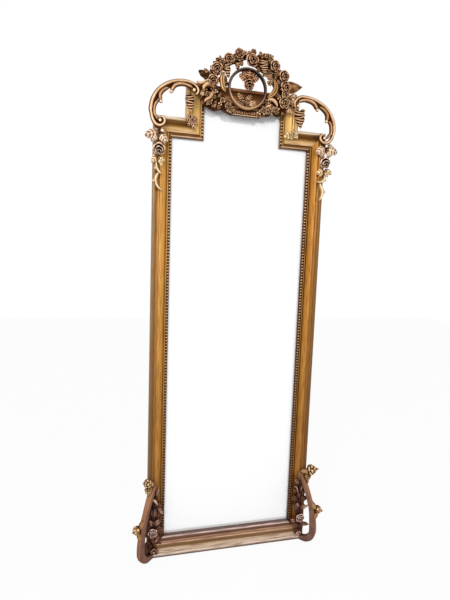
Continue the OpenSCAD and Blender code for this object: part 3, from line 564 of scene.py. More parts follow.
# Carved gilding by name: its slot, its painted shadow, body and painted highlight colours, its mottling and
# any second colour for a face painted as lit.
CARVED_GILTS = {name: CarvedGilt(name, slot, srgb(*shadow), srgb(*body), srgb(*light), *rest)
                for name, slot, shadow, body, light, *rest in (
    ("crest_gilt", "crest_gilt", (24, 8, 0), (108, 64, 32), (228, 186, 144), 0.25),
    ("crest_rose_gilt", "rose_gilt", (24, 7, 0), (112, 64, 36), (232, 182, 144), 0.22),
    ("strap_gilt", "crest_gilt", (44, 20, 4), (148, 98, 50), (236, 194, 140), 0.25),
    ("crest_leaf_gilt", "crest_gilt", (24, 10, 0), (116, 76, 40), (220, 178, 124), 0.3),
    ("ring_gilt", "dark_gilt", (34, 24, 16), (96, 80, 66), (196, 152, 112), 0.18),
    ("scroll_gilt", "rose_gilt", (50, 22, 4), (160, 108, 64), (250, 218, 180), 0.22),
    ("bud_drop_gilt", "rose_gilt", (32, 10, 2), (112, 70, 42), (228, 184, 146), 0.25),
    ("pale_bud_gilt", "pale_gilt", (96, 62, 30), (206, 164, 108), (250, 226, 180), 0.3),
    ("pale_leaf_gilt", "pale_gilt", (44, 20, 6), (164, 124, 90), (246, 224, 200), 0.6),
    ("tail_gilt", "pale_gilt", (56, 28, 8), (176, 134, 88), (246, 222, 180), 0.5),
    ("shoulder_rose_gilt", "rose_gilt", (34, 14, 4), (136, 96, 68), (246, 216, 190), 0.22),
    ("foot_bud_gilt", "pale_gilt", (52, 28, 14), (164, 118, 76), (232, 202, 162), 0.45),
    ("foot_rose_gilt", "rose_gilt", (70, 36, 36), (166, 122, 112), (232, 200, 186), 0.22),
    ("foot_leaf_gilt", "dark_gilt", (52, 30, 26), (114, 76, 62), (232, 188, 166), 0.25),
    ("foot_gilt", "foot_gilt", (52, 30, 26), (100, 68, 58), (176, 136, 118), 0.25, srgb(172, 118, 74)))}
MADE: dict[str, bpy.types.Material] = {}
Finish = Union[CarvedGilt, MouldingGilt, Plain, BeadGilt, SilveredGlass]


def dress(thing: bpy.types.Object, finish: Finish) -> None:
    """Put one finish all over an object.

    Args:
        thing: The object.
        finish: Its finish, whose material is built the first time.
    """
    if finish.name not in MADE:
        MADE[finish.name] = finish.build()
    thing.data.materials.clear()
    thing.data.materials.append(MADE[finish.name])
    for face in thing.data.polygons:
        face.material_index = 0


# ---- Carver's tools ----


def smooth(knots: Sequence[Knot], steps: int) -> list[Knot]:
    """Run a smooth curve through given knots.

    Args:
        knots: Points of any dimension.
        steps: Pieces between one knot and the next.

    Returns:
        The curve's points.
    """
    last = len(knots) - 1
    points = []
    for i in range(last):
        near = (knots[max(i - 1, 0)], knots[i], knots[i + 1], knots[min(i + 2, last)])
        for t in (s / steps for s in range(steps)):
            points.append(tuple(
                0.5 * (2 * q + (r - p) * t + (2 * p - 5 * q + 4 * r - w) * t * t
                       + (3 * q - p - 3 * r + w) * t ** 3)
                for p, q, r, w in zip(*near)))
    points.append(tuple(knots[last]))
    return points


def square_to(path: Sequence[Knot], i: int) -> Spot:
    """Find the direction square to a path.

    Args:
        path: The path's points.
        i: Which point it is found at.

    Returns:
        The direction, of length 1.
    """
    (ax, ay), (bx, by) = path[max(i - 1, 0)][:2], path[min(i + 1, len(path) - 1)][:2]
    size = hypot(bx - ax, by - ay) or 1.0
    return -(by - ay) / size, (bx - ax) / size


def about(radius: float, turn: float, height: float) -> Vector:
    """Give the point at a radius and a turn round the Z axis."""
    return Vector((radius * cos(turn), radius * sin(turn), height))


def turns(count: int) -> list[float]:
    """Split a full turn into equal steps."""
    return [tau * k / count for k in range(count)]


def squared(angle: float, wide: float, tall: float) -> Spot:
    """Give a point of the unit circle, pushed out toward a square by two powers below 1."""
    a, b = cos(angle), sin(angle)
    return copysign(abs(a) ** wide, a), copysign(abs(b) ** tall, b)


def turned(angle: float, axis: str) -> Matrix:
    """Give a turn about an axis, by an angle in degrees."""
    return Matrix.Rotation(radians(angle), 4, axis)


def on_front(x: float, z: float, v: float, turn: float = 0.0, lean: float = 0.0) -> Matrix:
    """Place a carving on the front: its X is to the right, its Y is up and its Z comes out.

    Args:
        x: Distance to the right of the middle.
        z: Height above the floor.
        v: Height above the back.
        turn: Turn in the plane of the front, in degrees.
        lean: How far its +X end rises out of that plane, in degrees.

    Returns:
        The placing matrix, in mm.
    """
    base = Matrix(((1, 0, 0, x), (0, 0, -1, -v), (0, 1, 0, z), (0, 0, 0, 1)))
    return base @ turned(turn, "Z") @ turned(-lean, "Y")


def reaching(foot: Spot, tip: Spot, v: float, lean: float = 0.0) -> tuple[Matrix, float]:
    """Place a carving on the front so that its X runs from one spot to another.

    Args:
        foot: Where it starts, as (x, z).
        tip: Where it ends.
        v: Height above the back.
        lean: How far its tip rises out of the front, in degrees.

    Returns:
        The placing matrix and the length.
    """
    dx, dz = tip[0] - foot[0], tip[1] - foot[1]
    return on_front(foot[0], foot[1], v, degrees(atan2(dz, dx)), lean), hypot(dx, dz)


class Carving:
    """Closed lofts gathered into one carved piece, which stands for a CAD node."""

    def __init__(self, node: str, side: Side = Side.RIGHT, name: str = "") -> None:
        """Start with a bare block.

        Args:
            node: The CAD node's name.
            side: The left side mirrors the points.
            name: The piece's own name, where it isn't the node's with "carved" before it.
        """
        self.node, self.side = node, side
        self.name = name or f"carved_{node}"
        self.points: list[Vector] = []
        self.tones: list[float] = []
        self.lit_share: list[float] = []
        self.faces: list[tuple[int, ...]] = []

    def loft(self, rings: Sequence[Sequence[tuple[Vector, float]]], place: Matrix,
             lit_side: Optional[Callable[[int, int], float]] = None, closed: bool = False) -> None:
        """Skin a row of closed rings, which all have the same count of points.

        Args:
            rings: Rings of (point, tone), where a tone of 0 is painted shade in a hollow and 1 a painted
                highlight on a rubbed edge.
            place: Where the rings' own frame lies.
            lit_side: Share of the second colour at ring i and point k.
            closed: Whether the last ring joins the first.
        """
        first, count = len(self.points), len(rings[0])
        for i, ring in enumerate(rings):
            for k, (point, tone) in enumerate(ring):
                self.points.append(place @ point)
                self.tones.append(tone)
                self.lit_share.append(lit_side(i, k) if lit_side else 0.0)
        for i in range(len(rings) if closed else len(rings) - 1):
            row, following = first + i * count, first + (i + 1) % len(rings) * count
            for k in range(count):
                n = (k + 1) % count
                self.faces.append((row + k, row + n, following + n, following + k))
        if not closed:
            self.faces.append(tuple(first + k for k in range(count))[::-1])
            self.faces.append(tuple(first + (len(rings) - 1) * count + k for k in range(count)))

    def leaves(self, rows: Sequence[Knot], v: float, lean: float = 6.0, **shape: float) -> None:
        """Lay leaves of one shape.

        Args:
            rows: Each leaf's (foot x, foot z, tip x, tip z, width), with its brightness where one is sixth.
            v: Height above the back.
            lean: How far the tips rise, in degrees.
            shape: What else the leaves share.
        """
        for x, z, tip_x, tip_z, width, *bright in rows:
            place, length = reaching((x, z), (tip_x, tip_z), v, lean)
            if bright:
                shape["bright"] = bright[0]
            Leaf(length, width, **shape).carve(self, place)

    def bud(self, foot: Spot, tip: Spot, size: float, v: float, **shape: float) -> None:
        """Hang a ridged bud from its foot to its tip, v above the back."""
        place, length = reaching(foot, tip, v)
        RidgedBud(length, size, **shape).carve(self, place)

    def rose(self, x: float, z: float, size: float, height: float, v: float = 56.0, slant: float = 0.0,
             **shape: float) -> None:
        """Set a rose that turns a little aside, v above the back."""
        Rose(size, height, **shape).carve(self, on_front(x, z, v) @ turned(slant, "Y"))

    def ball(self, spot: Spot, size: float, v: float, bright: float = 0.6) -> None:
        """Set a round berry, v above the back."""
        Ball(size, bright=bright).carve(self, on_front(*spot, v))

    def strand(self, line: Sequence[Knot], v: float, deep: float, **shape: object) -> None:
        """Lay a stem flat on the front, v above the back."""
        Stem(line, deep, **shape).carve(self, on_front(0, 0, v))

    def berries(self, place: Matrix, size: float, grain: float, count: int) -> None:
        """Cover a dome, painted dark as shade, with small berries.

        Args:
            place: The dome's middle, with its crown along +Z.
            size: The dome's width.
            grain: A berry's width.
            count: How many berries it has.
        """
        Ball(size, bright=0.05).carve(self, place)
        for n in range(count):
            polar, turn = acos(1 - 1.2 * (n + 0.5) / count), n * 2.4
            spot = about(sin(polar), turn, 0.85 * cos(polar))
            Ball(grain, bright=0.62).carve(self, place @ Matrix.Translation(spot * (size / 2 - grain * 0.1)))

    def boss(self, x: float, z: float, half: float, low: float, high: float, bright: float = 0.15) -> None:
        """Set a block of wood behind the carving, painted dark as shade, from one height above the back to
        another.
        """
        line = [(x, z - half * 0.5, half), (x, z + half * 0.5, half)]
        self.strand(line, (low + high) / 2, (high - low) / 2, section=Profile.SOFT, bright=bright, flat=True)

    def finish(self, gilt: str, levels: int = 1, rough: float = 0.25) -> None:
        """Make the object, ready to ride on the mirror.

        Args:
            gilt: Its finish by name.
            levels: Subdivision levels.
            rough: Height of the tool marks, in mm.
        """
        spots = []
        for point in self.points:
            mark = noise.noise(point * 0.35) * rough + noise.noise(point * 0.11) * rough * 1.6
            x = self.side.pick(-point.x, point.x)
            spots.append(((x + mark) * MM, (point.y + mark) * MM, (point.z + mark) * MM))
        mesh = bpy.data.meshes.new(self.name)
        mesh.from_pydata(spots, [], self.faces)
        for label, values in (("tone", self.tones), ("lit_side", self.lit_share)):
            mesh.attributes.new(label, "FLOAT", "POINT").data.foreach_set("value", values)
        work = bmesh.new()
        work.from_mesh(mesh)
        bmesh.ops.recalc_face_normals(work, faces=work.faces)
        work.to_mesh(mesh)
        work.free()
        mesh.shade_smooth()
        thing = bpy.data.objects.new(self.name, mesh)
        bpy.context.scene.collection.objects.link(thing)
        rounding = thing.modifiers.new("rounding", "SUBSURF")
        rounding.levels = rounding.render_levels = levels
        dress(thing, CARVED_GILTS[gilt])
        LOG.info("%s carved", self.name)
        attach(thing, "mirror")
        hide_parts(self.node)


@dataclass
class Leaf:
    """A carved leaf that grows along its own X, with lobes, a midrib and veins."""

    length: float
    width: float
    lobes: int = 4
    notch: float = 0.3
    thick: float = 3.5
    arch: float = 0.12
    cup: float = 0.22
    curl: float = 0.0
    bright: float = 0.55
    point: float = 0.5
    vein: float = 0.30

    def carve(self, work: Carving, place: Matrix) -> None:
        """Cut the leaf into a piece.

        Args:
            work: The piece that it belongs to.
            place: Where the leaf's foot is.
        """
        steps, across = self.lobes * 4 + 2, 11
        rings = []
        for i in range(steps + 1):
            u = i / steps
            full = sin(pi * (0.07 + 0.93 * u) ** (1.15 - 0.35 * self.point))
            swell = max(0.04, full) ** (0.35 + 0.6 * self.point) if i < steps else 0.05
            tooth = (u * self.lobes) % 1.0
            half = 0.5 * self.width * swell * (1 - self.notch * tooth ** 2 * min(1, 3 * (1 - u)))
            lift = self.arch * self.length * sin(pi * u)
            lift += self.curl * self.length * max(0.0, u - 0.6) ** 2 * 6
            top, under = [], []
            for k in range(across):
                s = -1 + 2 * k / (across - 1)
                vein = cos(tau * (self.lobes * u - 0.8 * abs(s)))
                rib = exp(-(s / 0.15) ** 2) * (1 - 0.5 * u)
                height = (lift - self.cup * self.width * 0.5 * s * s
                          + self.width * (0.10 * rib + 0.045 * vein * min(1, 4 * abs(s))))
                # Painted highlights on the midrib, the raised veins and the edges; painted shade in the
                # grooves, toward the foot and underneath.
                tone = (self.bright + self.vein * vein * min(1, 4 * abs(s)) + 0.28 * rib + 0.25 * abs(s) ** 3
                        - 0.45 * (1 - min(1, 3 * u)))
                top.append((Vector((self.length * u, half * s, height)), tone))
                sunk = height - self.thick * (1 - 0.7 * abs(s))
                under.append((Vector((self.length * u, half * s * 0.92, sunk)), tone - 0.5))
            rings.append(top + under[::-1])
        work.loft(rings, place)


@dataclass
class Petal:
    """A curved petal round the Z axis, from its foot to its lip."""

    outline: Sequence[Spot]
    middle: float
    spread: float
    thick: float
    bright: float
    droop: float = 0.12

    def carve(self, work: Carving, place: Matrix) -> None:
        """Cut the petal into a piece.

        Args:
            work: The piece that it belongs to.
            place: Where the flower's axis is.
        """
        line = smooth(self.outline, 3)
        across = 7
        rings = []
        for i, (radius, height) in enumerate(line):
            t = i / (len(line) - 1)
            lit = min(1.0, max(0.0, (t - 0.42) / 0.25))
            outer, inner = [], []
            for k in range(across):
                s = -1 + 2 * k / (across - 1)
                fan = 0.75 + 0.25 * sin(pi * min(1, t + 0.2))
                angle = radians(self.middle + self.spread * s * fan)
                level = height - self.droop * height * (s * s) * t
                tuck = 1 - 0.10 * s * s
                # Painted highlight toward the lip; painted shade toward the foot, at the sides and on the
                # inner face.
                tone = 0.06 + (self.bright + 0.36) * lit - 0.22 * s * s
                outer.append((about(radius * tuck, angle, level), tone))
                near = max(0.2, radius * tuck - self.thick * (1 - 0.4 * t))
                inner.append((about(near, angle, level), tone - 0.5 * (1 - lit)))
            rings.append(outer + inner[::-1])
        work.loft(rings, place)


@dataclass
class Rose:
    """An open rose: rings of lipped petals round an eye painted dark as shade."""

    diameter: float
    height: float
    spin: float = 0.0
    bright: float = 0.6
    droop: float = 0.0

    def carve(self, work: Carving, place: Matrix) -> None:
        """Cut the rose into a piece.

        Args:
            work: The piece that it belongs to.
            place: Where the rose's foot is, with its face along +Z.
        """
        r, h = self.diameter / 2, self.height
        work.loft([[(about(q * r, a, z * h), 0.0) for a in turns(16)]
                   for q, z in ((0.66, 0.0), (0.74, 0.18), (0.5, 0.30), (0.24, 0.46), (0.05, 0.46))], place)
        rows = ((5, 0.46, 1.0, 0.55, 0.16), (4, 0.30, 0.66, 0.85, 0.12), (3, 0.12, 0.34, 1.0, 0.06))
        for count, foot, lip, top, curl in rows:
            sunk = place @ Matrix.Translation((0, -self.droop * r * (1 - lip), 0))
            for k in range(count):
                middle = self.spin + 360 * (k + 0.37 * count) / count
                outline = ((foot * r, 0.10 * h), (0.75 * lip * r, 0.75 * top * h),
                           (0.86 * lip * r, 0.97 * top * h), (0.98 * lip * r, top * h),
                           (1.03 * lip * r, (top - curl) * h))
                # Painted light: petals that face up are lighter.
                lit = self.bright + 0.17 * sin(radians(middle))
                Petal(outline, middle, 0.60 * 360 / count, 0.13 * r, lit).carve(work, sunk)


@dataclass
class RidgedBud:
    """A drop bud cut into stacked chevron ridges, along its own X with Z coming out."""

    length: float
    diameter: float
    ridges: int = 6
    vee: float = 0.14
    taper: float = 0.5
    bright: float = 0.6

    def carve(self, work: Carving, place: Matrix) -> None:
        """Cut the bud into a piece.

        Args:
            work: The piece that it belongs to.
            place: Where the bud's foot is.
        """
        steps = self.ridges * 5
        rings = []
        for i in range(steps + 1):
            t = i / steps
            saw = min(1.0, (i % 5) / 3) if i % 5 < 4 else 0.8
            lit = min(1.0, max(0.0, (saw - 0.35) / 0.5))
            swell = self.diameter / 2 * (0.58 + 0.42 * sin(pi * min(1.0, 0.15 + 0.8 * t)))
            swell *= (1 - self.taper * t * t) * (0.35 if i == steps else 1.0)
            ring = []
            for a in turns(20):
                q = swell * (0.80 + 0.24 * saw) * (1 + 0.05 * cos(3 * a + 1.3 * (i // 5)))
                along = self.length * (t * (1 - self.vee) + self.vee * max(0.0, sin(a)))
                along += 0.26 * q * cos(a) * sin(2.1 * (i // 5) + 0.6) * (1 - t * t)
                # Painted highlights on the ridges and painted shade in the grooves between them.
                ring.append((Vector((along, q * cos(a), 0.8 * q * sin(a))),
                             0.05 + (self.bright + 0.32) * lit))
            rings.append(ring)
        work.loft(rings, place)


@dataclass
class Ball:
    """A round berry or knob, lit at its crown."""

    size: float
    bright: float
    rise: float = 0.85

    def carve(self, work: Carving, place: Matrix) -> None:
        """Cut the ball into a piece.

        Args:
            work: The piece that it belongs to.
            place: Where its middle is.
        """
        r = self.size / 2
        work.loft([[(about(r * sin(a), q, r * self.rise * cos(a)), self.bright - 0.15 + 0.5 * cos(a))
                    for q in turns(12)] for a in map(radians, (6, 30, 55, 80, 105, 135, 170))], place)


@dataclass
class Bud:
    """A closed bud along +Z, wrapped in rows of petals with raised edges."""

    diameter: float
    length: float
    rows: int
    bright: float
    blunt: float

    def girth(self, t: float) -> float:
        """Give the radius at a share of the bud's length."""
        full = 0.42 + 0.58 * sin(pi * min(1.0, t * 1.15 + 0.12)) ** 0.8
        return self.diameter / 2 * full * (1 - t) ** self.blunt

    def carve(self, work: Carving, place: Matrix) -> None:
        """Cut the bud into a piece.

        Args:
            work: The piece that it belongs to.
            place: Where the bud's foot is.
        """
        radii = [max(0.6, self.girth(i / 12) * 0.84) for i in range(12)] + [0.4]
        # The core under the petals is painted dark, as shade.
        work.loft([[(about(q, a, i / 12 * self.length * 0.97), 0.15) for a in turns(16)]
                   for i, q in enumerate(radii)], place)
        for row in range(self.rows):
            low = 0.03 + 0.80 * row / self.rows
            high = min(1.0, low + 1.35 / self.rows)
            count = 5 if row < self.rows - 1 else 3
            outline = [(self.girth(low + (high - low) * q) * (0.9 + 0.16 * q),
                        (low + (high - low) * q) * self.length) for q in (0, 0.35, 0.7, 1)]
            for k in range(count):
                Petal(outline, 360 * (k + 0.5 * row) / count, 0.56 * 360 / count,
                      0.09 * self.diameter / 2 + 0.6, self.bright, droop=0.10).carve(work, place)


@dataclass
class Stem:
    """A stem swept along a line in its own XY plane, with flutes on its front."""

    line: Sequence[Knot]
    deep: float
    section: Profile = Profile.ROUND
    flutes: int = 0
    groove: float = 0.14
    steps: int = 4
    bright: float = 0.5
    knuckle: float = 0.0
    flat: bool = False
    ridge: float = 0.0

    def carve(self, work: Carving, place: Matrix, lit_side: bool = False) -> None:
        """Cut the stem into a piece.

        Args:
            work: The piece that it belongs to.
            place: Where the line's plane is.
            lit_side: Whether the side that faces outward takes the second colour.
        """
        path = smooth(self.line, self.steps)
        count = 28 if self.flutes else 20
        power = 2 / self.section.value
        last = len(path) - 1
        rings = []
        for i, (x, y, half, *deep) in enumerate(path):
            nx, ny = square_to(path, i)
            girth = 1 + self.knuckle * cos(i * 0.9)
            tip = min(1.0, 0.35 + 0.22 * min(i, last - i))
            high = deep[0] if deep else self.deep if self.flat else self.deep * half
            ring = []
            for angle in turns(count):
                a, b = squared(angle, power, power)
                crest = max(0.0, b)
                # Painted highlight along the stem's crest and painted shade on its back half; flutes are
                # painted light on their ridges and shade in their grooves.
                tone = self.bright - 0.3 * (b < -0.1) + 0.12 * crest + self.ridge * (crest ** 2 - 0.6)
                if self.flutes and b > 0:
                    wave = 0.5 - 0.5 * cos(tau * self.flutes * (a + 1) / 2)
                    b *= 1 - self.groove * (1 - wave) * min(1.0, 1.6 * b)
                    tone += 0.42 * wave - 0.30 if abs(a) < 0.97 else 0.0
                off = a * half * girth * tip
                ring.append((Vector((x + nx * off, y + ny * off, b * high * tip)), tone))
            rings.append(ring)

        def shade(i: int, k: int) -> float:
            """Share out the second colour, painted light on the lit face: most on the outer side, and less
            toward the end.

            Args:
                i: The ring.
                k: The ring's point.

            Returns:
                The share.
            """
            if cos(tau * k / count) > 0.72:
                return max(0.15, 1.1 - 1.6 * i / last)
            return max(0.0, 0.42 - 1.1 * i / last)

        work.loft(rings, place, shade if lit_side else None)


def mound(work: Carving, low: Sequence[Spot], high: Sequence[Spot]) -> None:
    """Cut a rough mass of carved wood behind leaves and flowers, on the crest's front.

    Args:
        work: The piece that it belongs to.
        low: Its lower edge.
        high: Its upper edge.
    """
    rings = []
    for (x0, y0), (x1, y1) in zip(smooth(low, 4), smooth(high, 4)):
        ring = []
        for angle in turns(22):
            a, b = squared(angle, 0.45, 0.5)
            t = 0.5 + 0.5 * a
            rough = noise.noise(Vector((x0 * 0.09, t * 3.1, 7.0)))
            v = (MASS_BACK + MASS_FRONT + (MASS_FRONT - MASS_BACK) * b) / 2 + rough * 3.2 * max(0.0, b)
            # Painted light on the bumps and painted shade on the mass's back half.
            tone = 0.22 + 0.5 * max(0.0, rough) - 0.15 * (b < 0)
            ring.append((Vector((x0 + (x1 - x0) * t, y0 + (y1 - y0) * t, v)), tone))
        rings.append(ring)
    work.loft(rings, on_front(0, 0, 0))


# ---- Frame, plate and back ----


@dataclass
class CadPieces:
    """The members, bead strings, plate and everything on the back, which keep the CAD's own solids."""

    rows: tuple[tuple[Finish, str], ...] = (
        (STILE_GILT, "left_stile"), (RIGHT_STILE_GILT, "right_stile"),
        (UPPER_STILE_GILT, "left_upper_stile right_upper_stile"),
        (SHOULDER_GILT, "left_shoulder_rail right_shoulder_rail"), (TOP_GILT, "top_rail"),
        (BOTTOM_GILT, "bottom_rail"), (LOWER_BEAD_GILT, "left_beads right_beads"),
        (UPPER_BEAD_GILT, "left_upper_beads right_upper_beads"), (SPLINE_WOOD, "corner_splines"),
        (SilveredGlass(), "mirror_plate"), (BOARD, "backing_board"), (RUBBER, "wall_bumpers"),
        (ZINC, "board_clips clip_screws"),
        (BRASS, "left_hanger_strap right_hanger_strap left_hanger_ring right_hanger_ring hanger_screws"))

    def dress(self) -> None:
        """Give each piece the finish of its own place."""
        for finish, names in self.rows:
            for name in names.split():
                dress(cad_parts[name], finish)
                LOG.info("%s dressed", name)


# ---- Crest ----


@dataclass
class Crest:
    """The pierced crest: ring, garlands, branches, roses, leaves and straps."""

    seed: int = 7
    ring_radius: float = 66.5
    ring_middle: Spot = (0.0, 1751.0)
    branch_v: float = 50.0
    drop_v: float = 60.0
    flower_v: float = 33.0
    leaf_v: float = 55.0
    strap_v: float = 60.0

    def build(self) -> None:
        """Carve every piece of the crest, in the order of the random draws."""
        self.dice = random.Random(self.seed)
        for carve in (self.ring, self.ring_drop, self.ring_flower, self.apron, self.left_garland,
                      self.right_garland, self.branches, self.back_leaves, self.straps, self.roses):
            carve()

    def ring(self) -> None:
        """The plain round ring, with a rolled outer lip."""
        work = Carving("crest_ring")
        x0, z0 = self.ring_middle
        rings = []
        for turn in turns(32):
            x, z = x0 + self.ring_radius * cos(turn), z0 + self.ring_radius * sin(turn)
            ring = []
            for angle in turns(18):
                a, b = squared(angle, 0.7, 0.6)
                off = a * 4.9 * (1 - 0.15 * max(0.0, b))
                # Painted highlight along the ring's crest and painted shade on its inner side; the tone is
                # also lighter toward the bottom and the lower left.
                tone = 0.30 + 0.34 * max(0.0, b) * (1 - abs(a)) - 0.25 * (a < -0.5)
                tone += 0.34 * max(0.0, -sin(turn)) + 0.12 * max(0.0, cos(turn + 2.4))
                ring.append((Vector((x + cos(turn) * off, z + sin(turn) * off, 8.5 * b)), tone))
            rings.append(ring)
        work.loft(rings, on_front(0, 0, RING_V), closed=True)
        work.finish("ring_gilt", levels=2, rough=0.1)

    def ring_drop(self) -> None:
        """Ribbed leaves and a hanging rose in the ring's upper half."""
        work = Carving("ring_drop")
        # The stalk behind the leaves is painted dark as shade.
        work.strand([(2, 1814, 6), (3, 1796, 8), (4, 1774, 9)], self.drop_v, 5.0, section=Profile.SOFT,
                    bright=0.15, flat=True)
        work.leaves([(4, 1780, 5, 1819, 34), (0, 1780, -31, 1797, 27), (8, 1780, 40, 1796, 27),
                     (-2, 1786, -20, 1812, 22), (9, 1786, 26, 1811, 22)], self.drop_v + 3, 5, lobes=5,
                    notch=0.2, cup=0.3, point=0.3)
        work.rose(4, 1765, 40, 20, self.drop_v, droop=0.7, spin=20, bright=0.55)
        work.finish("crest_rose_gilt")

    def ring_flower(self) -> None:
        """The small flower that lies on the top rail inside the ring."""
        work = Carving("ring_flower")
        v = self.flower_v
        work.leaves([(-4, 1716, -28, 1747, 23), (2, 1716, 25, 1744, 23), (-8, 1706, -36, 1716, 18)], v, 8,
                    lobes=5, notch=0.2, point=0.3, vein=0.35)
        work.leaves([(6, 1702, 46, 1722, 27, 0.75)], v, lobes=3, notch=0.1, point=0.3, vein=0.15)
        work.leaves([(-2, 1700, 20, 1688, 18, 0.6)], v, lobes=3, point=0.3)
        work.boss(-1, 1708, 9, v - 9, v + 1)
        work.rose(-3, 1709, 28, 13, v, droop=0.3, spin=50)
        work.finish("crest_gilt")

    def apron(self) -> None:
        """The piece under the ring, cut with fine slanting ribs."""
        work = Carving("crest_apron", name="carved_apron")
        low = [(x, TOP_SIGHT - 29 + (0.9 if n % 2 else -0.6)) for n, x in enumerate(range(-56, 57, 8))]
        mound(work, low, [(x, TOP_SIGHT - 8) for x, _ in low])
        for x in (n * 6.2 for n in range(-8, 9)):
            work.strand([(x * 1.05, TOP_SIGHT - 29, 2.2), (x + 1.5, TOP_SIGHT - 21, 3.0),
                         (x * 0.93 + 3, TOP_SIGHT - 11, 2.6)], MASS_FRONT, 1.0, ridge=0.4)
        work.strand([(x, TOP_SIGHT - 30, 1.5) for x in range(-54, 55, 18)], 52, 1.0, bright=0.8)
        work.finish("crest_gilt")

    def sprinkle(self, work: Carving, low: Sequence[Spot], high: Sequence[Spot], count: int, sizes: Spot,
                 v: float = MASS_FRONT) -> None:
        """Cover a mass with small leaves, berries and half-open flowers, in rows.

        Args:
            work: The piece that it belongs to.
            low: The lower edge of the mass.
            high: Its upper edge.
            count: How many pieces lie along it.
            sizes: The least and the greatest size.
            v: Height above the back.
        """
        low, high = smooth(low, 6), smooth(high, 6)
        for n in range(count):
            i = min(int((n + self.dice.random()) / count * (len(low) - 1)), len(low) - 2)
            share = (0.14, 0.5, 0.86, 0.32, 0.68)[n % 5] + self.dice.uniform(-0.07, 0.07)
            x, z = (a + (b - a) * share for a, b in zip(low[i], high[i]))
            size = self.dice.uniform(*sizes)
            heading = self.dice.uniform(0, tau)
            if n % 4 == 3:
                work.rose(x, z, size * 0.8, 8, v + 2, spin=self.dice.uniform(0, 90), bright=0.62)
            elif n % 4 == 1:
                for turn in (heading + step for step in turns(3)):
                    work.ball((x + size * 0.22 * cos(turn), z + size * 0.22 * sin(turn)), size * 0.42, v + 3)
            else:
                tip = (x + size * cos(heading), max(z + size * sin(heading), low[i][1] - 2))
                work.leaves([(x, z, *tip, size * 0.62)], v, self.dice.uniform(2, 14), lobes=3, arch=0.2,
                            cup=0.35, point=0.3, bright=self.dice.uniform(0.4, 0.62))

    def left_garland(self) -> None:
        """The thick swag left of the ring, which ends in a smooth rolled dome and a hollow leaf."""
        work = Carving("left_garland", Side.LEFT)
        low = [(46, 1665), (58, 1669), (74, 1674), (90, 1680), (108, 1672), (126, 1677),
               (142, 1684), (157, 1692)]
        high = [(46, 1688), (62, 1706), (78, 1722), (96, 1738), (112, 1738), (128, 1734),
                (144, 1736), (157, 1730)]
        mound(work, low, high)
        self.sprinkle(work, low, high, 30, (15, 24))
        dome = [(118, 1742, 9), (130, 1751, 12.5), (143, 1752, 12.5), (154, 1743, 10), (157, 1730, 7)]
        work.strand(dome, 58, 0.8, bright=0.46, ridge=0.5)
        lip = [(120, 1754, 3), (132, 1763, 4.5), (145, 1763, 4.5), (157, 1755, 4.5),
               (168, 1752, 5), (180, 1757, 4)]
        work.strand(lip, 60, 1.2, bright=0.72, ridge=0.3)
        cheek = [(118, 1733, 8), (126, 1722, 10), (134, 1710, 10), (146, 1700, 8), (152, 1692, 4)]
        work.strand(cheek, 56, 0.8, bright=0.5, ridge=0.4)
        work.leaves([(148, 1734, 163, 1712, 20, 0.66)], self.leaf_v, 4, lobes=2, notch=0.05, point=0.3,
                    vein=0.12)
        work.rose(139, 1718, 20, 9, 57, droop=0.4, bright=0.55)
        work.rose(66, 1688, 24, 11)
        work.finish("crest_gilt")

    def right_garland(self) -> None:
        """The thick swag right of the ring, with waving strands, roses and broad end leaves."""
        work = Carving("right_garland")
        low = [(46, 1668), (62, 1676), (84, 1675), (106, 1683), (126, 1678),
               (142, 1690), (160, 1700), (170, 1712)]
        high = [(46, 1690), (62, 1712), (80, 1728), (100, 1744), (118, 1746),
                (138, 1740), (156, 1748), (170, 1744)]
        mound(work, low, high)
        self.sprinkle(work, low, high, 30, (15, 25))
        work.rose(141, 1722, 42, 16, droop=0.4, spin=30, bright=0.62)
        work.rose(143, 1750, 30, 14, 57, droop=0.6, spin=10, bright=0.85)
        for wave in ([(74, 1724, 5), (88, 1730, 8), (102, 1726, 9), (112, 1716, 7), (116, 1704, 4)],
                     [(70, 1696, 4), (82, 1706, 7), (94, 1702, 6), (104, 1692, 5),
                      (116, 1696, 6), (128, 1706, 5)]):
            work.strand(wave, 56, 0.8, bright=0.6, ridge=0.4)
        broad = {"lobes": 2, "notch": 0.05, "point": 0.4, "vein": 0.1}
        work.leaves([(160, 1744, 190, 1756, 22, 0.66)], self.leaf_v, 4, **broad)
        work.leaves([(156, 1724, 182, 1750, 26, 0.72)], self.leaf_v - 1, 4, **broad)
        work.leaves([(150, 1706, 172, 1698, 22, 0.72)], self.leaf_v - 1, 4, lobes=3, point=0.3)
        for x, z, size in ((64, 1690, 22), (86, 1688, 24), (108, 1694, 22)):
            work.rose(x, z, size, 10, spin=self.dice.uniform(0, 90))
        work.finish("crest_gilt")

    def branches(self) -> None:
        """The masses behind the roses, thick with small leaves, berries and ridged buds."""
        for side, line in (
                (Side.LEFT, [(123, 1737, 17), (129, 1765, 19), (115, 1803, 20), (82, 1835, 20),
                             (40, 1856, 19), (0, 1863, 17)]),
                (Side.RIGHT, [(121, 1737, 20), (124, 1765, 24), (110, 1801, 26), (80, 1830, 26),
                              (38, 1850, 24), (0, 1859, 20)])):
            work = Carving(f"{side.word}_branch", side)
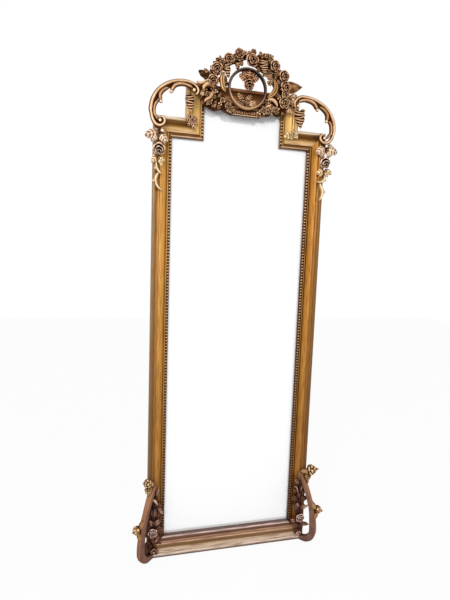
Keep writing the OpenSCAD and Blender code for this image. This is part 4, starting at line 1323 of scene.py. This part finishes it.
            # The branch's mass is painted dark as shade between the roses.
            work.strand([(x, z, half * 0.8) for x, z, half in line], self.branch_v - 2, 6.0,
                        section=Profile.SOFT, bright=0.08, knuckle=0.08, flat=True)
            path = smooth(line, 4)
            edges = ([], [])
            for i, (x, z, half) in enumerate(path):
                nx, nz = square_to(path, i)
                edges[0].append((x + nx * half * 0.9, z + nz * half * 0.9))
                edges[1].append((x - nx * half * 0.9, z - nz * half * 0.9))
            self.sprinkle(work, edges[0][::2], edges[1][::2], 40, (16, 25), self.branch_v + 2)
            if side is Side.LEFT:
                work.bud((77, 1834), (68, 1780), 27, 57)
                work.bud((36, 1842), (37, 1811), 21, 55, ridges=4)
                work.leaves([(96, 1812, 78, 1830, 20), (88, 1792, 74, 1770, 18), (100, 1782, 104, 1764, 18),
                             (30, 1844, 18, 1830, 20)], self.leaf_v)
                work.berries(on_front(76, 1764, 54), 16, 6, 10)
            else:
                work.bud((54, 1860), (62, 1812), 36, 60, taper=0.35)
                work.leaves([(112, 1806, 122, 1834, 24)], 58, lobes=5, vein=0.4)
                work.leaves([(88, 1820, 76, 1796, 22), (70, 1826, 58, 1804, 21), (44, 1836, 40, 1817, 24),
                             (96, 1806, 84, 1782, 20)], self.leaf_v)
                work.berries(on_front(84, 1786, 54), 18, 6, 12)
            work.finish("crest_gilt")

    def back_leaves(self) -> None:
        """The larger leaves that stand out behind the branches."""
        work = Carving("left_crest_leaves", Side.LEFT)
        work.leaves([(112, 1770, 173, 1799, 34, 0.16), (106, 1808, 132, 1820, 22, 0.45),
                     (80, 1830, 113, 1848, 27, 0.45), (28, 1852, 24, 1884, 24, 0.3),
                     (50, 1850, 66, 1872, 22, 0.4),
                     (118, 1782, 150, 1790, 24, 0.4), (124, 1764, 150, 1760, 22, 0.35),
                     (98, 1822, 122, 1836, 22, 0.4)], 44, 4, lobes=3, notch=0.12, arch=0.06, cup=0.3, thick=5,
                    vein=0.2)
        work.finish("crest_leaf_gilt")
        work = Carving("right_crest_leaves")
        work.leaves([(130, 1781, 213, 1792, 46, 0.5)], 45, 3, lobes=2, notch=0.04, arch=0.06, cup=0.5,
                    thick=5, point=0.75, vein=0.12)
        work.leaves([(26, 1864, 98, 1881, 31), (112, 1814, 146, 1828, 26), (86, 1842, 114, 1866, 26),
                     (6, 1856, 8, 1889, 26), (126, 1796, 156, 1812, 24), (70, 1850, 100, 1872, 26)], 45, 4,
                    lobes=6, notch=0.16, arch=0.06, cup=0.25, thick=5, point=0.4, vein=0.38)
        work.finish("crest_leaf_gilt")

    def straps(self) -> None:
        """The smooth straps between the ring and the branches."""
        for side, groove, bright, line in (
                (Side.LEFT, 0.2, 0.62, [(84, 1800, 6), (90, 1786, 9), (91, 1766, 9.5),
                                        (86, 1748, 9), (76, 1734, 7)]),
                (Side.RIGHT, 0.3, 0.55, [(97, 1797, 4), (106, 1777, 9), (103, 1758, 10), (90, 1742, 8.5),
                                         (74, 1734, 6)])):
            work = Carving(f"{side.word}_crest_strap", side)
            work.strand(line, self.strap_v, 0.7, flutes=2, groove=groove, bright=bright)
            work.finish("strap_gilt")

    def roses(self) -> None:
        """Every rose of the crest, at its own place and size."""
        rows = {
            "left_crest_roses": ((-122, 1765, 42, 20), (-110, 1806, 42, 21), (-69, 1843, 39, 20),
                                 (-33, 1867, 35, 18), (-92, 1830, 20, 12)),
            "right_crest_roses": ((141, 1776, 42, 20), (133, 1812, 42, 21), (98, 1842, 40, 20),
                                  (118, 1790, 20, 10), (70, 1872, 20, 11)),
            "crest_rose": ((14, 1849, 47, 22), (18, 1879, 22, 12)),
        }
        for node, places in rows.items():
            work = Carving(node)
            for x, z, size, height in places:
                work.rose(x, z, size, height, slant=10 * (x - 10) / 130, droop=0.45 if abs(x) > 60 else 0.1,
                          spin=self.dice.uniform(0, 60), bright=0.62)
            work.finish("crest_rose_gilt")


# ---- Ear scrolls and drops beside the upper sight ----


@dataclass
class Flank:
    """Carving that each side has for itself."""

    side: Side

    def start(self, node: str) -> Carving:
        """Start the piece of this side."""
        return Carving(f"{self.side.word}_{node}", self.side)


@dataclass
class EarScroll(Flank):
    """The open C-scroll over a shoulder: leafy strands, a volute below and a curl above."""

    middle: Spot = (222.0, 1651.0)
    rise: float = 110.0
    left_reach: float = 118.0
    right_reach: float = 131.0
    strand_v: float = 51.0

    def arc(self, rows: Sequence[Knot]) -> list[Knot]:
        """Turn rows into knots beside the scroll's outer edge.

        Args:
            rows: Angles in degrees from the level, insets and half widths in mm.

        Returns:
            Knots as (x, z, half width).
        """
        reach = self.side.pick(self.left_reach, self.right_reach)
        return [(self.middle[0] + (reach - inset) * cos(radians(turn)),
                 self.middle[1] + (self.rise - inset) * sin(radians(turn)), half)
                for turn, inset, half in rows]

    def widened(self, rows: Sequence[Knot]) -> list[Knot]:
        """Shift knots of (x, share, z, half width) outward by a share of the right scroll's extra reach."""
        extra = self.side.pick(0.0, self.right_reach - self.left_reach)
        return [(x + extra * share, z, half) for x, share, z, half in rows]

    def build(self) -> None:
        """Carve the scroll."""
        work = self.start("ear_scroll")
        curl = self.side.pick(
            [(200, 1752, 6.5), (183, 1745, 6.5), (173, 1732, 6.5), (175, 1720, 5.5), (184, 1715, 4.5)],
            [(204, 1752, 6.5), (191, 1744, 6.5), (183, 1731, 6.5), (185, 1718, 5.5), (193, 1711, 4.5)])
        volute = self.widened([(331, 1, 1640, 6.5), (326, 1, 1620, 6.8), (317, 0.8, 1606, 7),
                               (304, 0.6, 1600, 7),
                               (291, 0.5, 1606, 6.5), (285, 0.5, 1617, 6), (290, 0.5, 1628, 5.4),
                               (300, 0.5, 1630, 4.6)])
        outer = curl[::-1] + self.arc([(a, 7.5, 7.8) for a in (90, 72, 54, 36, 18, 0)]) + volute
        work.strand(outer, self.strand_v, 1.15, bright=0.4, ridge=0.66, steps=5)
        # The web behind the strands is painted dark as shade.
        web = self.arc([(a, 13, 9) for a in (96, 80, 60, 40, 20, 0, -12)])
        work.strand(web, self.strand_v - 4, 0.7, section=Profile.SOFT, bright=0.15)
        inner = self.arc([(22, 30, 5), (14, 21, 6), (0, 18, 6), (-13, 18, 6)])
        inner += self.widened([(318, 1, 1634, 6), (313, 0.8, 1624, 5.5), (306, 0.6, 1616, 4)])
        work.strand(inner, self.strand_v + 1, 1.2, bright=0.3, ridge=0.65)
        hook = self.arc([(20, 36, 5), (26, 29, 7), (34, 21, 7.5), (44, 19, 7), (53, 20, 5.5), (59, 22, 3)])
        work.strand(hook, self.strand_v + 3, 1.2, bright=0.28, ridge=0.65)
        crown = self.arc([(57, 37, 5), (63, 30, 7), (71, 21, 7.5), (81, 18, 7), (90, 18, 6.5)])
        crown += [(curl[0][0] + 2, 1739, 6), (curl[1][0] + 8, 1734, 4.5)]
        work.strand(crown, self.strand_v + 3, 1.2, bright=0.34, ridge=0.65)
        for x, z, _ in self.arc([(21, 35, 0), (58, 36, 0)]):
            work.ball((x, z), 13, self.strand_v + 5, 0.52)
        (eye_x, eye_z, _), = self.widened([(301, 0.5, 1617, 0)])
        knob = self.side.pick((187, 1729), (197, 1720))
        work.boss(eye_x + 2, eye_z + 1, 17, 36, 47)
        work.boss(knob[0], knob[1] + 1, 9, 40, 50)
        work.ball((eye_x, eye_z), 15, self.strand_v + 3, 0.56)
        work.ball(knob, 15, self.strand_v + 2, 0.56)
        work.finish("scroll_gilt")


@dataclass
class UpperDrop(Flank):
    """The ridged bud and the corner spray beside the upper sight."""

    bud_v: float = 58.0
    spray_v: float = 44.0

    def build(self) -> None:
        """Carve the bud, then the drooping leaves and the small flower at the corner."""
        work = self.start("bud_drop")
        if self.side is Side.LEFT:
            work.bud((203, 1712), (199, 1654), 36, self.bud_v, taper=0.45)
            work.leaves([(202, 1704, 214, 1716, 14), (200, 1704, 186, 1712, 14)], self.bud_v + 4, lobes=3)
        else:
            work.bud((200, 1706), (208, 1638), 47, self.bud_v, ridges=7, taper=0.6)
            work.leaves([(204, 1700, 222, 1704, 16), (196, 1700, 180, 1708, 16)], self.bud_v + 4, lobes=3)
        work.boss(199, 1682, 9, 30, 52)
        work.finish("bud_drop_gilt")
        work = self.start("corner_spray")
        work.boss(188, 1628, 12, 30, 42)
        rows = self.side.pick(
            ((192, 1640, 212, 1630, 18), (190, 1642, 171, 1636, 18), (192, 1634, 203, 1612, 18),
             (188, 1636, 184, 1603, 20), (186, 1634, 170, 1616, 16), (194, 1642, 206, 1650, 14)),
            ((186, 1624, 211, 1632, 18), (184, 1620, 208, 1612, 18), (182, 1620, 182, 1604, 16),
             (178, 1620, 158, 1624, 18), (178, 1618, 164, 1606, 16), (182, 1626, 186, 1642, 16)))
        work.leaves(rows, self.spray_v, 5, lobes=3, arch=0.22, cup=0.35, thick=6, point=0.2, bright=0.6)
        work.rose(*self.side.pick((190, 1630, 22), (184, 1620, 24)), 10, self.spray_v + 3, spin=25,
                  bright=0.7, droop=0.2)
        if self.side is Side.RIGHT:
            work.ball((157, 1612), 12, self.spray_v, 0.65)
        work.finish(self.side.pick("bud_drop_gilt", "pale_bud_gilt"))


# ---- Drops on the shoulders ----


@dataclass
class ShoulderDrop(Flank):
    """Pale leaves, a rose and a ribbon tail on the shoulder of a stile."""

    leaf_v: float = 48.0
    rose_v: float = 43.0
    tail_v: float = 40.0
    small_leaf_v: float = 46.0

    def build(self) -> None:
        """Carve the drop's three pieces."""
        self.broad_leaves()
        self.rose()
        self.tail()

    def broad_leaves(self) -> None:
        """The two broad drooping leaves, with a nub and small leaves between them."""
        work = self.start("shoulder_leaves")
        rows = self.side.pick(
            ((303, 1581, 351, 1563, 33), (301, 1578, 278, 1546, 31), (310, 1574, 329, 1547, 24),
             (300, 1580, 281, 1584, 18), (306, 1584, 322, 1592, 20)),
            ((320, 1581, 367, 1570, 34), (317, 1590, 284, 1562, 32), (322, 1576, 344, 1555, 24),
             (314, 1576, 303, 1553, 22), (324, 1586, 346, 1595, 20)))
        work.leaves(rows, self.leaf_v, 5, notch=0.2, thick=6, arch=0.18, cup=0.35, bright=0.62, point=0.1,
                    vein=0.24)
        work.ball(self.side.pick((293, 1584), (318, 1590)), 14, self.leaf_v + 6, 0.7)
        work.boss(308, 1576, 12, 30, 47)
        work.finish("pale_leaf_gilt")

    def rose(self) -> None:
        """The rose, which hangs its head so that its upper petals arch over the eye."""
        work = self.start("shoulder_rose")
        x, z, size = self.side.pick((303, 1525, 43), (319, 1531, 42))
        seat = on_front(x, z, self.rose_v) @ turned(12, "X")
        Rose(size, 22, spin=30, bright=0.62, droop=0.55).carve(work, seat)
        work.leaves([(x - 4, z + 14, x - 16, z + 24, 14), (x + 4, z + 14, x + 17, z + 23, 14)],
                    self.small_leaf_v, lobes=3, thick=5)
        work.boss(x - 4, z, 12, 30, 46)
        work.finish("shoulder_rose_gilt")

    def tail(self) -> None:
        """The small leaves and the waving ribbon under the rose."""
        work = self.start("tail")
        ribbon = self.side.pick(
            ([(309, 1502, 4), (311, 1480, 5), (309, 1462, 6.5), (300, 1447, 6), (291, 1444, 4)],
             [(299, 1450, 5), (309, 1436, 7), (313, 1420, 7), (308, 1403, 6),
              (298, 1391, 5), (289, 1386, 2.5)]),
            ([(318, 1506, 4), (324, 1484, 5), (321, 1468, 6.5), (306, 1458, 6), (293, 1461, 4)],
             [(305, 1459, 5), (308, 1446, 7), (317, 1430, 7.5), (318, 1414, 6.5), (311, 1398, 5),
              (306, 1388, 2.5)]))
        for line in ribbon:
            work.strand(line, self.tail_v, 9.0, section=Profile.SOFT, flutes=1, groove=0.35, bright=0.66,
                        flat=True)
        rows = self.side.pick(
            ((310, 1502, 327, 1476, 20), (311, 1504, 325, 1496, 14), (306, 1500, 283, 1482, 19),
             (305, 1496, 291, 1466, 15), (312, 1424, 323, 1412, 11), (306, 1464, 318, 1456, 11)),
            ((316, 1506, 289, 1488, 22), (322, 1506, 350, 1490, 22), (320, 1502, 334, 1478, 15),
             (312, 1500, 302, 1478, 14), (316, 1428, 328, 1420, 11), (318, 1470, 331, 1464, 11)))
        work.leaves(rows, self.small_leaf_v, 5, lobes=3, notch=0.2, thick=6, arch=0.2, cup=0.35, bright=0.62,
                    point=0.3)
        work.finish("tail_gilt")


# ---- Console feet ----


@dataclass
class ConsoleFoot(Flank):
    """A carved console at a lower corner, with its buds, rose and leaves."""

    root_x: float = 300.0
    root_v: float = 34.0
    turn: float = 43.0
    left_bud: Spot = (14.0, 305.0)
    right_bud: Spot = (27.0, 304.0)
    low_bud: Spot = (82.0, 152.0)
    bud_aside: float = -8.0
    mass_v: float = 32.0
    stem_v: float = 34.0
    leaf_v: float = 37.0
    rose_v: float = 40.0
    swirl_v: float = 45.0

    def __post_init__(self) -> None:
        """Work out the console's own plane: X is its reach, Y is up and Z is across it."""
        self.plane = (Matrix.Translation((self.root_x, -self.root_v, 0)) @ turned(-self.turn, "Z")
                      @ turned(90, "X"))

    def outward(self, x: float, z: float, rise: float) -> Matrix:
        """Place a carving in the console's plane so that its Z points out and up by an angle."""
        return self.plane @ Matrix.Translation((x, z, self.bud_aside)) @ turned(rise, "Z") @ turned(90, "Y")

    def stalk(self, work: Carving, line: Sequence[Knot], bright: float) -> None:
        """Lay a stalk in the console's plane."""
        Stem(line, 1.0, bright=bright).carve(work, self.plane)

    def build(self) -> None:
        """Carve the console and what grows on it."""
        self.console()
        self.buds()
        self.rose()
        self.sprig()

    def console(self) -> None:
        """The S-shaped bracket, broad and thin above, with a volute at its foot."""
        work = self.start("console")
        line = [(-12, 291, 5.5, 14), (3, 283, 6.5, 14), (16, 256, 7.5, 13), (30, 222, 8.5, 11.5),
                (43, 184, 9.5, 10.5), (55, 146, 11, 10), (60, 106, 12.5, 10), (63, 69, 13.5, 10),
                (62, 46, 13.5, 10), (53, 26, 13.5, 10), (36, 13.4, 12.2, 10), (16, 11, 10, 10),
                (1, 11, 8.5, 10), (-9, 19, 7.5, 10), (-7, 30, 6.5, 10), (4, 34, 5.5, 9.5), (11, 27, 4.5, 9),
                (7, 20, 4, 8.5)]
        Stem(line, 10.0, Profile.BAND, flat=True).carve(work, self.plane, lit_side=True)
        for across in (-6, 6):
            Ball(15, 0.6).carve(work, self.plane @ Matrix.Translation((1, 22, across)))
        if self.side is Side.LEFT:
            # The webs between the band's curves are painted dark as shade.
            for web in ([(10, 246, 3), (20, 214, 7), (30, 180, 10), (38, 146, 14), (44, 116, 13),
                         (48, 100, 6)],
                        [(36, 76, 6), (40, 60, 13), (38, 42, 16), (30, 26, 10)]):
                Stem(web, 3.5, Profile.SOFT, bright=0.2, flat=True, knuckle=0.12).carve(work, self.plane)
        work.finish("foot_gilt")

    def buds(self) -> None:
        """The bud wrapped in petals above and the acorn below, each on its stalk."""
        work = self.start("console_buds")
        x, z = self.side.pick(self.left_bud, self.right_bud)
        self.stalk(work, [(-2, 285, 5), (6, 295, 8), (x, z - 1, 11), (x + 8, z, 12)], 0.5)
        Bud(*self.side.pick((43, 40), (54, 50)), 4, 0.48, 0.6).carve(work, self.outward(x + 1, z - 1, 24))
        Ball(23, 0.55).carve(work, self.outward(x + 2, z - 1, 24))
        drop = x + self.side.pick(3, -3)
        self.stalk(work, [(x + 4, z - 6, 8), (drop, z - 22, 9), (drop - 3, z - 40, 7)], 0.35)
        work.berries(self.outward(drop + 3, z - 28, -20), 27, 8, 20)
        Leaf(36, 18, lobes=3, bright=0.5).carve(
            work, self.plane @ Matrix.Translation((drop + 2, z - 22, -4)) @ turned(-84, "Z"))
        x, z = self.low_bud
        self.stalk(work, [(48, 182, 4), (56, 171, 9), (x - 9, z, 14)], 0.46)
        self.stalk(work, [(64, 96, 4), (69, 118, 8), (x - 6, z - 12, 14)], 0.45)
        Bud(42, 32, 3, 0.5, 0.6).carve(work, self.outward(x - 13, z - 3, 2))
        Ball(36, 0.34).carve(work, self.outward(x - 6, z - 3, 2))
        work.finish("foot_bud_gilt")

    def rose(self) -> None:
        """The rose over the corner of the frame."""
        work = self.start("foot_rose")
        spot = self.side.pick((301, 106), (302, 96))
        work.rose(*spot, 37, 17, self.rose_v, spin=10, bright=0.62, droop=-0.1)
        work.boss(*spot, 11, 28, 42)
        work.finish("foot_rose_gilt")

    def swirl(self, work: Carving, x: float, z: float, radius: float) -> None:
        """Coil a pale scroll over the volute at the corner of the frame.

        Args:
            work: The piece that it belongs to.
            x: Distance of its eye to the right of the middle.
            z: The eye's height.
            radius: Its outer radius, in mm.
        """
        line = []
        for share in (n / 11 for n in range(12)):
            turn, reach = radians(230 - 520 * share), radius * (0.84 - 0.68 * share)
            line.append((x + reach * cos(turn), z + 1.15 * reach * sin(turn),
                         radius * (0.24 - 0.08 * share)))
        work.boss(x, z, radius * 0.8, 30, 43, bright=0.1)
        work.strand(line, self.swirl_v, 1.2, bright=self.side.pick(0.34, 0.56), ridge=0.5)
        work.ball((x, z), radius * 0.5, self.swirl_v + 1, 0.62)

    def sprig(self) -> None:
        """The leaves round the rose and the sprig that climbs the stile."""
        work = self.start("foot_leaves")
        # The mass behind the leaves is painted dark as shade.
        mass = [(290, 266, 4), (291, 232, 8), (291, 190, 13), (295, 150, 15), (300, 112, 15), (302, 78, 14),
                (300, 58, 10)]
        work.strand(mass, self.mass_v, 4.0, section=Profile.SOFT, bright=0.12, knuckle=0.14, flat=True)
        stem = self.side.pick([(288, 268, 3), (292, 236, 4), (290, 200, 4.5), (297, 140, 5)],
                              [(292, 268, 3), (296, 236, 4), (298, 200, 4.5), (299, 130, 5)])
        work.strand(stem, self.stem_v, 1.6, bright=0.3)
        hooks = self.side.pick(
            ([(284, 214, 3), (292, 230, 5.5), (301, 240, 5.5), (309, 236, 4)],
             [(296, 62, 2), (287, 72, 3.5), (276, 83, 2)]),
            ([(290, 200, 3), (284, 222, 5.5), (276, 236, 5.5), (269, 231, 4)],
             [(298, 206, 3), (302, 228, 5.5), (310, 242, 5.5), (317, 236, 4)]))
        for hook in hooks:
            work.strand(hook, self.rose_v, 1.4, bright=self.side.pick(0.68, 0.42), ridge=0.45)
        rows = self.side.pick(
            ((300, 128, 319, 158, 25, 0.5), (298, 128, 274, 160, 25, 0.5), (292, 126, 261, 104, 27, 0.3),
             (300, 92, 274, 76, 20, 0.4), (308, 92, 333, 96, 22, 0.3), (304, 90, 294, 58, 20, 0.35),
             (304, 118, 334, 136, 22, 0.3), (289, 244, 285, 288, 18, 0.5), (296, 248, 307, 280, 16, 0.3),
             (286, 212, 262, 176, 14, 0.55), (288, 222, 268, 204, 15, 0.35), (296, 160, 294, 208, 18, 0.45),
             (304, 166, 309, 204, 17, 0.4), (290, 160, 276, 190, 18, 0.35), (310, 158, 326, 182, 18, 0.3),
             (312, 74, 329, 50, 20, 0.3), (288, 70, 268, 54, 17, 0.35), (306, 60, 318, 32, 17, 0.25)),
            ((292, 128, 270, 158, 25, 0.4), (302, 128, 322, 152, 22, 0.4), (296, 136, 283, 164, 16, 0.6),
             (300, 134, 337, 149, 17, 0.6), (290, 168, 264, 192, 27, 0.3), (296, 170, 334, 186, 26, 0.3),
             (294, 176, 293, 212, 22, 0.35), (288, 206, 268, 224, 18, 0.4), (292, 236, 274, 270, 18, 0.45),
             (296, 236, 311, 262, 20, 0.35), (292, 250, 292, 288, 16, 0.4), (292, 80, 261, 88, 20, 0.5),
             (300, 74, 345, 62, 20, 0.45), (300, 70, 272, 50, 22, 0.35), (300, 196, 322, 214, 22, 0.35),
             (300, 214, 318, 238, 18, 0.3), (304, 70, 318, 46, 18, 0.3)))
        work.leaves(rows, self.leaf_v, 10, lobes=2, notch=0.14, arch=0.22, cup=0.42, thick=5, curl=0.1,
                    point=0.6, vein=0.14)
        self.swirl(work, *self.side.pick((297, 27, 18), (299, 24, 15)))
        work.finish("foot_leaf_gilt")


# ---- Camera and studio ----


@dataclass
class PhotoCamera:
    """The photograph's own view, in metres and radians."""

    place: tuple[float, float, float] = (-0.3895, -1.4879, 1.1561)
    yaw: float = 0.231
    pitch: float = -0.103
    roll: float = 0.035
    lens: float = 24.0
    sensor: float = 36.0

    def build(self) -> None:
        """Set the camera up and make it the scene's own."""
        ahead = Vector((sin(self.yaw) * cos(self.pitch), cos(self.yaw) * cos(self.pitch),
                        sin(self.pitch)))
        level = Vector((cos(self.yaw), -sin(self.yaw), 0.0))
        above = level.cross(ahead)
        right = cos(self.roll) * level + sin(self.roll) * above
        up = -sin(self.roll) * level + cos(self.roll) * above
        data = bpy.data.cameras.new("photo_camera")
        data.lens, data.sensor_width, data.dof.use_dof = self.lens, self.sensor, False
        camera = bpy.data.objects.new("photo_camera", data)
        turn = Matrix((right, up, -ahead)).transposed().to_4x4()
        camera.matrix_world = Matrix.Translation(self.place) @ turn
        bpy.context.scene.collection.objects.link(camera)
        bpy.context.scene.camera = camera


@dataclass
class Studio:
    """A pale floor, a white surround and plain soft light."""

    fill: float = 0.64
    key_watts: float = 46.0
    fill_watts: float = 9.0
    floor_half_m: float = 6.0

    def build(self) -> None:
        """Set up the floor, the surround and the lamps."""
        self.floor()
        self.surround()
        self.lamp("key_light", (-1.5, -2.7, 2.1), (0.0, -0.05, 1.1), 1.3, self.key_watts)
        self.lamp("fill_light", (2.3, -2.2, 1.5), (0.0, -0.05, 0.9), 1.6, self.fill_watts)
        bpy.context.scene.view_settings.view_transform = "Standard"

    def floor(self) -> None:
        """Lay the pale floor, which is nearly white to the camera and in reflections."""
        half = self.floor_half_m
        mesh = bpy.data.meshes.new("studio_floor")
        mesh.from_pydata([(-half, -half, 0), (half, -half, 0), (half, half, 0), (-half, half, 0)], [],
                         [(0, 1, 2, 3)])
        floor = bpy.data.objects.new("studio_floor", mesh)
        bpy.context.scene.collection.objects.link(floor)
        bench = NodeBench(bpy.data.materials.new("floor_paper"))
        paper = bench.add("BsdfPrincipled", **{"Base Color": (0.9, 0.9, 0.9), "Roughness": 0.9})
        glow = bench.add("Emission", Color=WHITE, Strength=1.0)
        share = bench.maths("MULTIPLY", bench.seen(), 0.93)
        both = bench.mixed(share, paper.outputs["BSDF"], glow.outputs["Emission"])
        bench.add("OutputMaterial", Surface=both)
        mesh.materials.append(bench.owner)

    def surround(self) -> None:
        """Make the world white to the camera and in reflections, and soft on the object."""
        world = bpy.data.worlds.new("studio_surround")
        bpy.context.scene.world = world
        bench = NodeBench(world)
        soft, white = (bench.add("Background", Color=WHITE, Strength=strength).outputs["Background"]
                       for strength in (self.fill, 1.0))
        bench.add("OutputWorld", Surface=bench.mixed(bench.seen(), soft, white))

    def lamp(self, name: str, place: Sequence[float], aim: Sequence[float], size: float,
             watts: float) -> None:
        """Hang one soft lamp.

        Args:
            name: The lamp's name.
            place: Where it hangs, in metres.
            aim: The point that it faces.
            size: Its width, in metres.
            watts: Its power.
        """
        data = bpy.data.lights.new(name, "AREA")
        data.shape, data.size, data.energy = "SQUARE", size, watts
        lamp = bpy.data.objects.new(name, data)
        lamp.location = place
        lamp.rotation_euler = (Vector(aim) - Vector(place)).to_track_quat("-Z", "Y").to_euler()
        bpy.context.scene.collection.objects.link(lamp)


def main() -> None:
    """Build the mirror's looks piece by piece."""
    logging.basicConfig(level=logging.INFO, format="%(name)s: %(message)s")
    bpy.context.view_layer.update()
    PhotoCamera().build()
    Studio().build()
    CadPieces().dress()
    LOG.info("frame, plate and back dressed")
    Crest().build()
    LOG.info("crest carved")
    for side in Side:
        for piece in (EarScroll(side), UpperDrop(side), ShoulderDrop(side), ConsoleFoot(side)):
            piece.build()
            LOG.info("%s %s carved", side.word, type(piece).__name__)


if __name__ == "__main__":
    main()
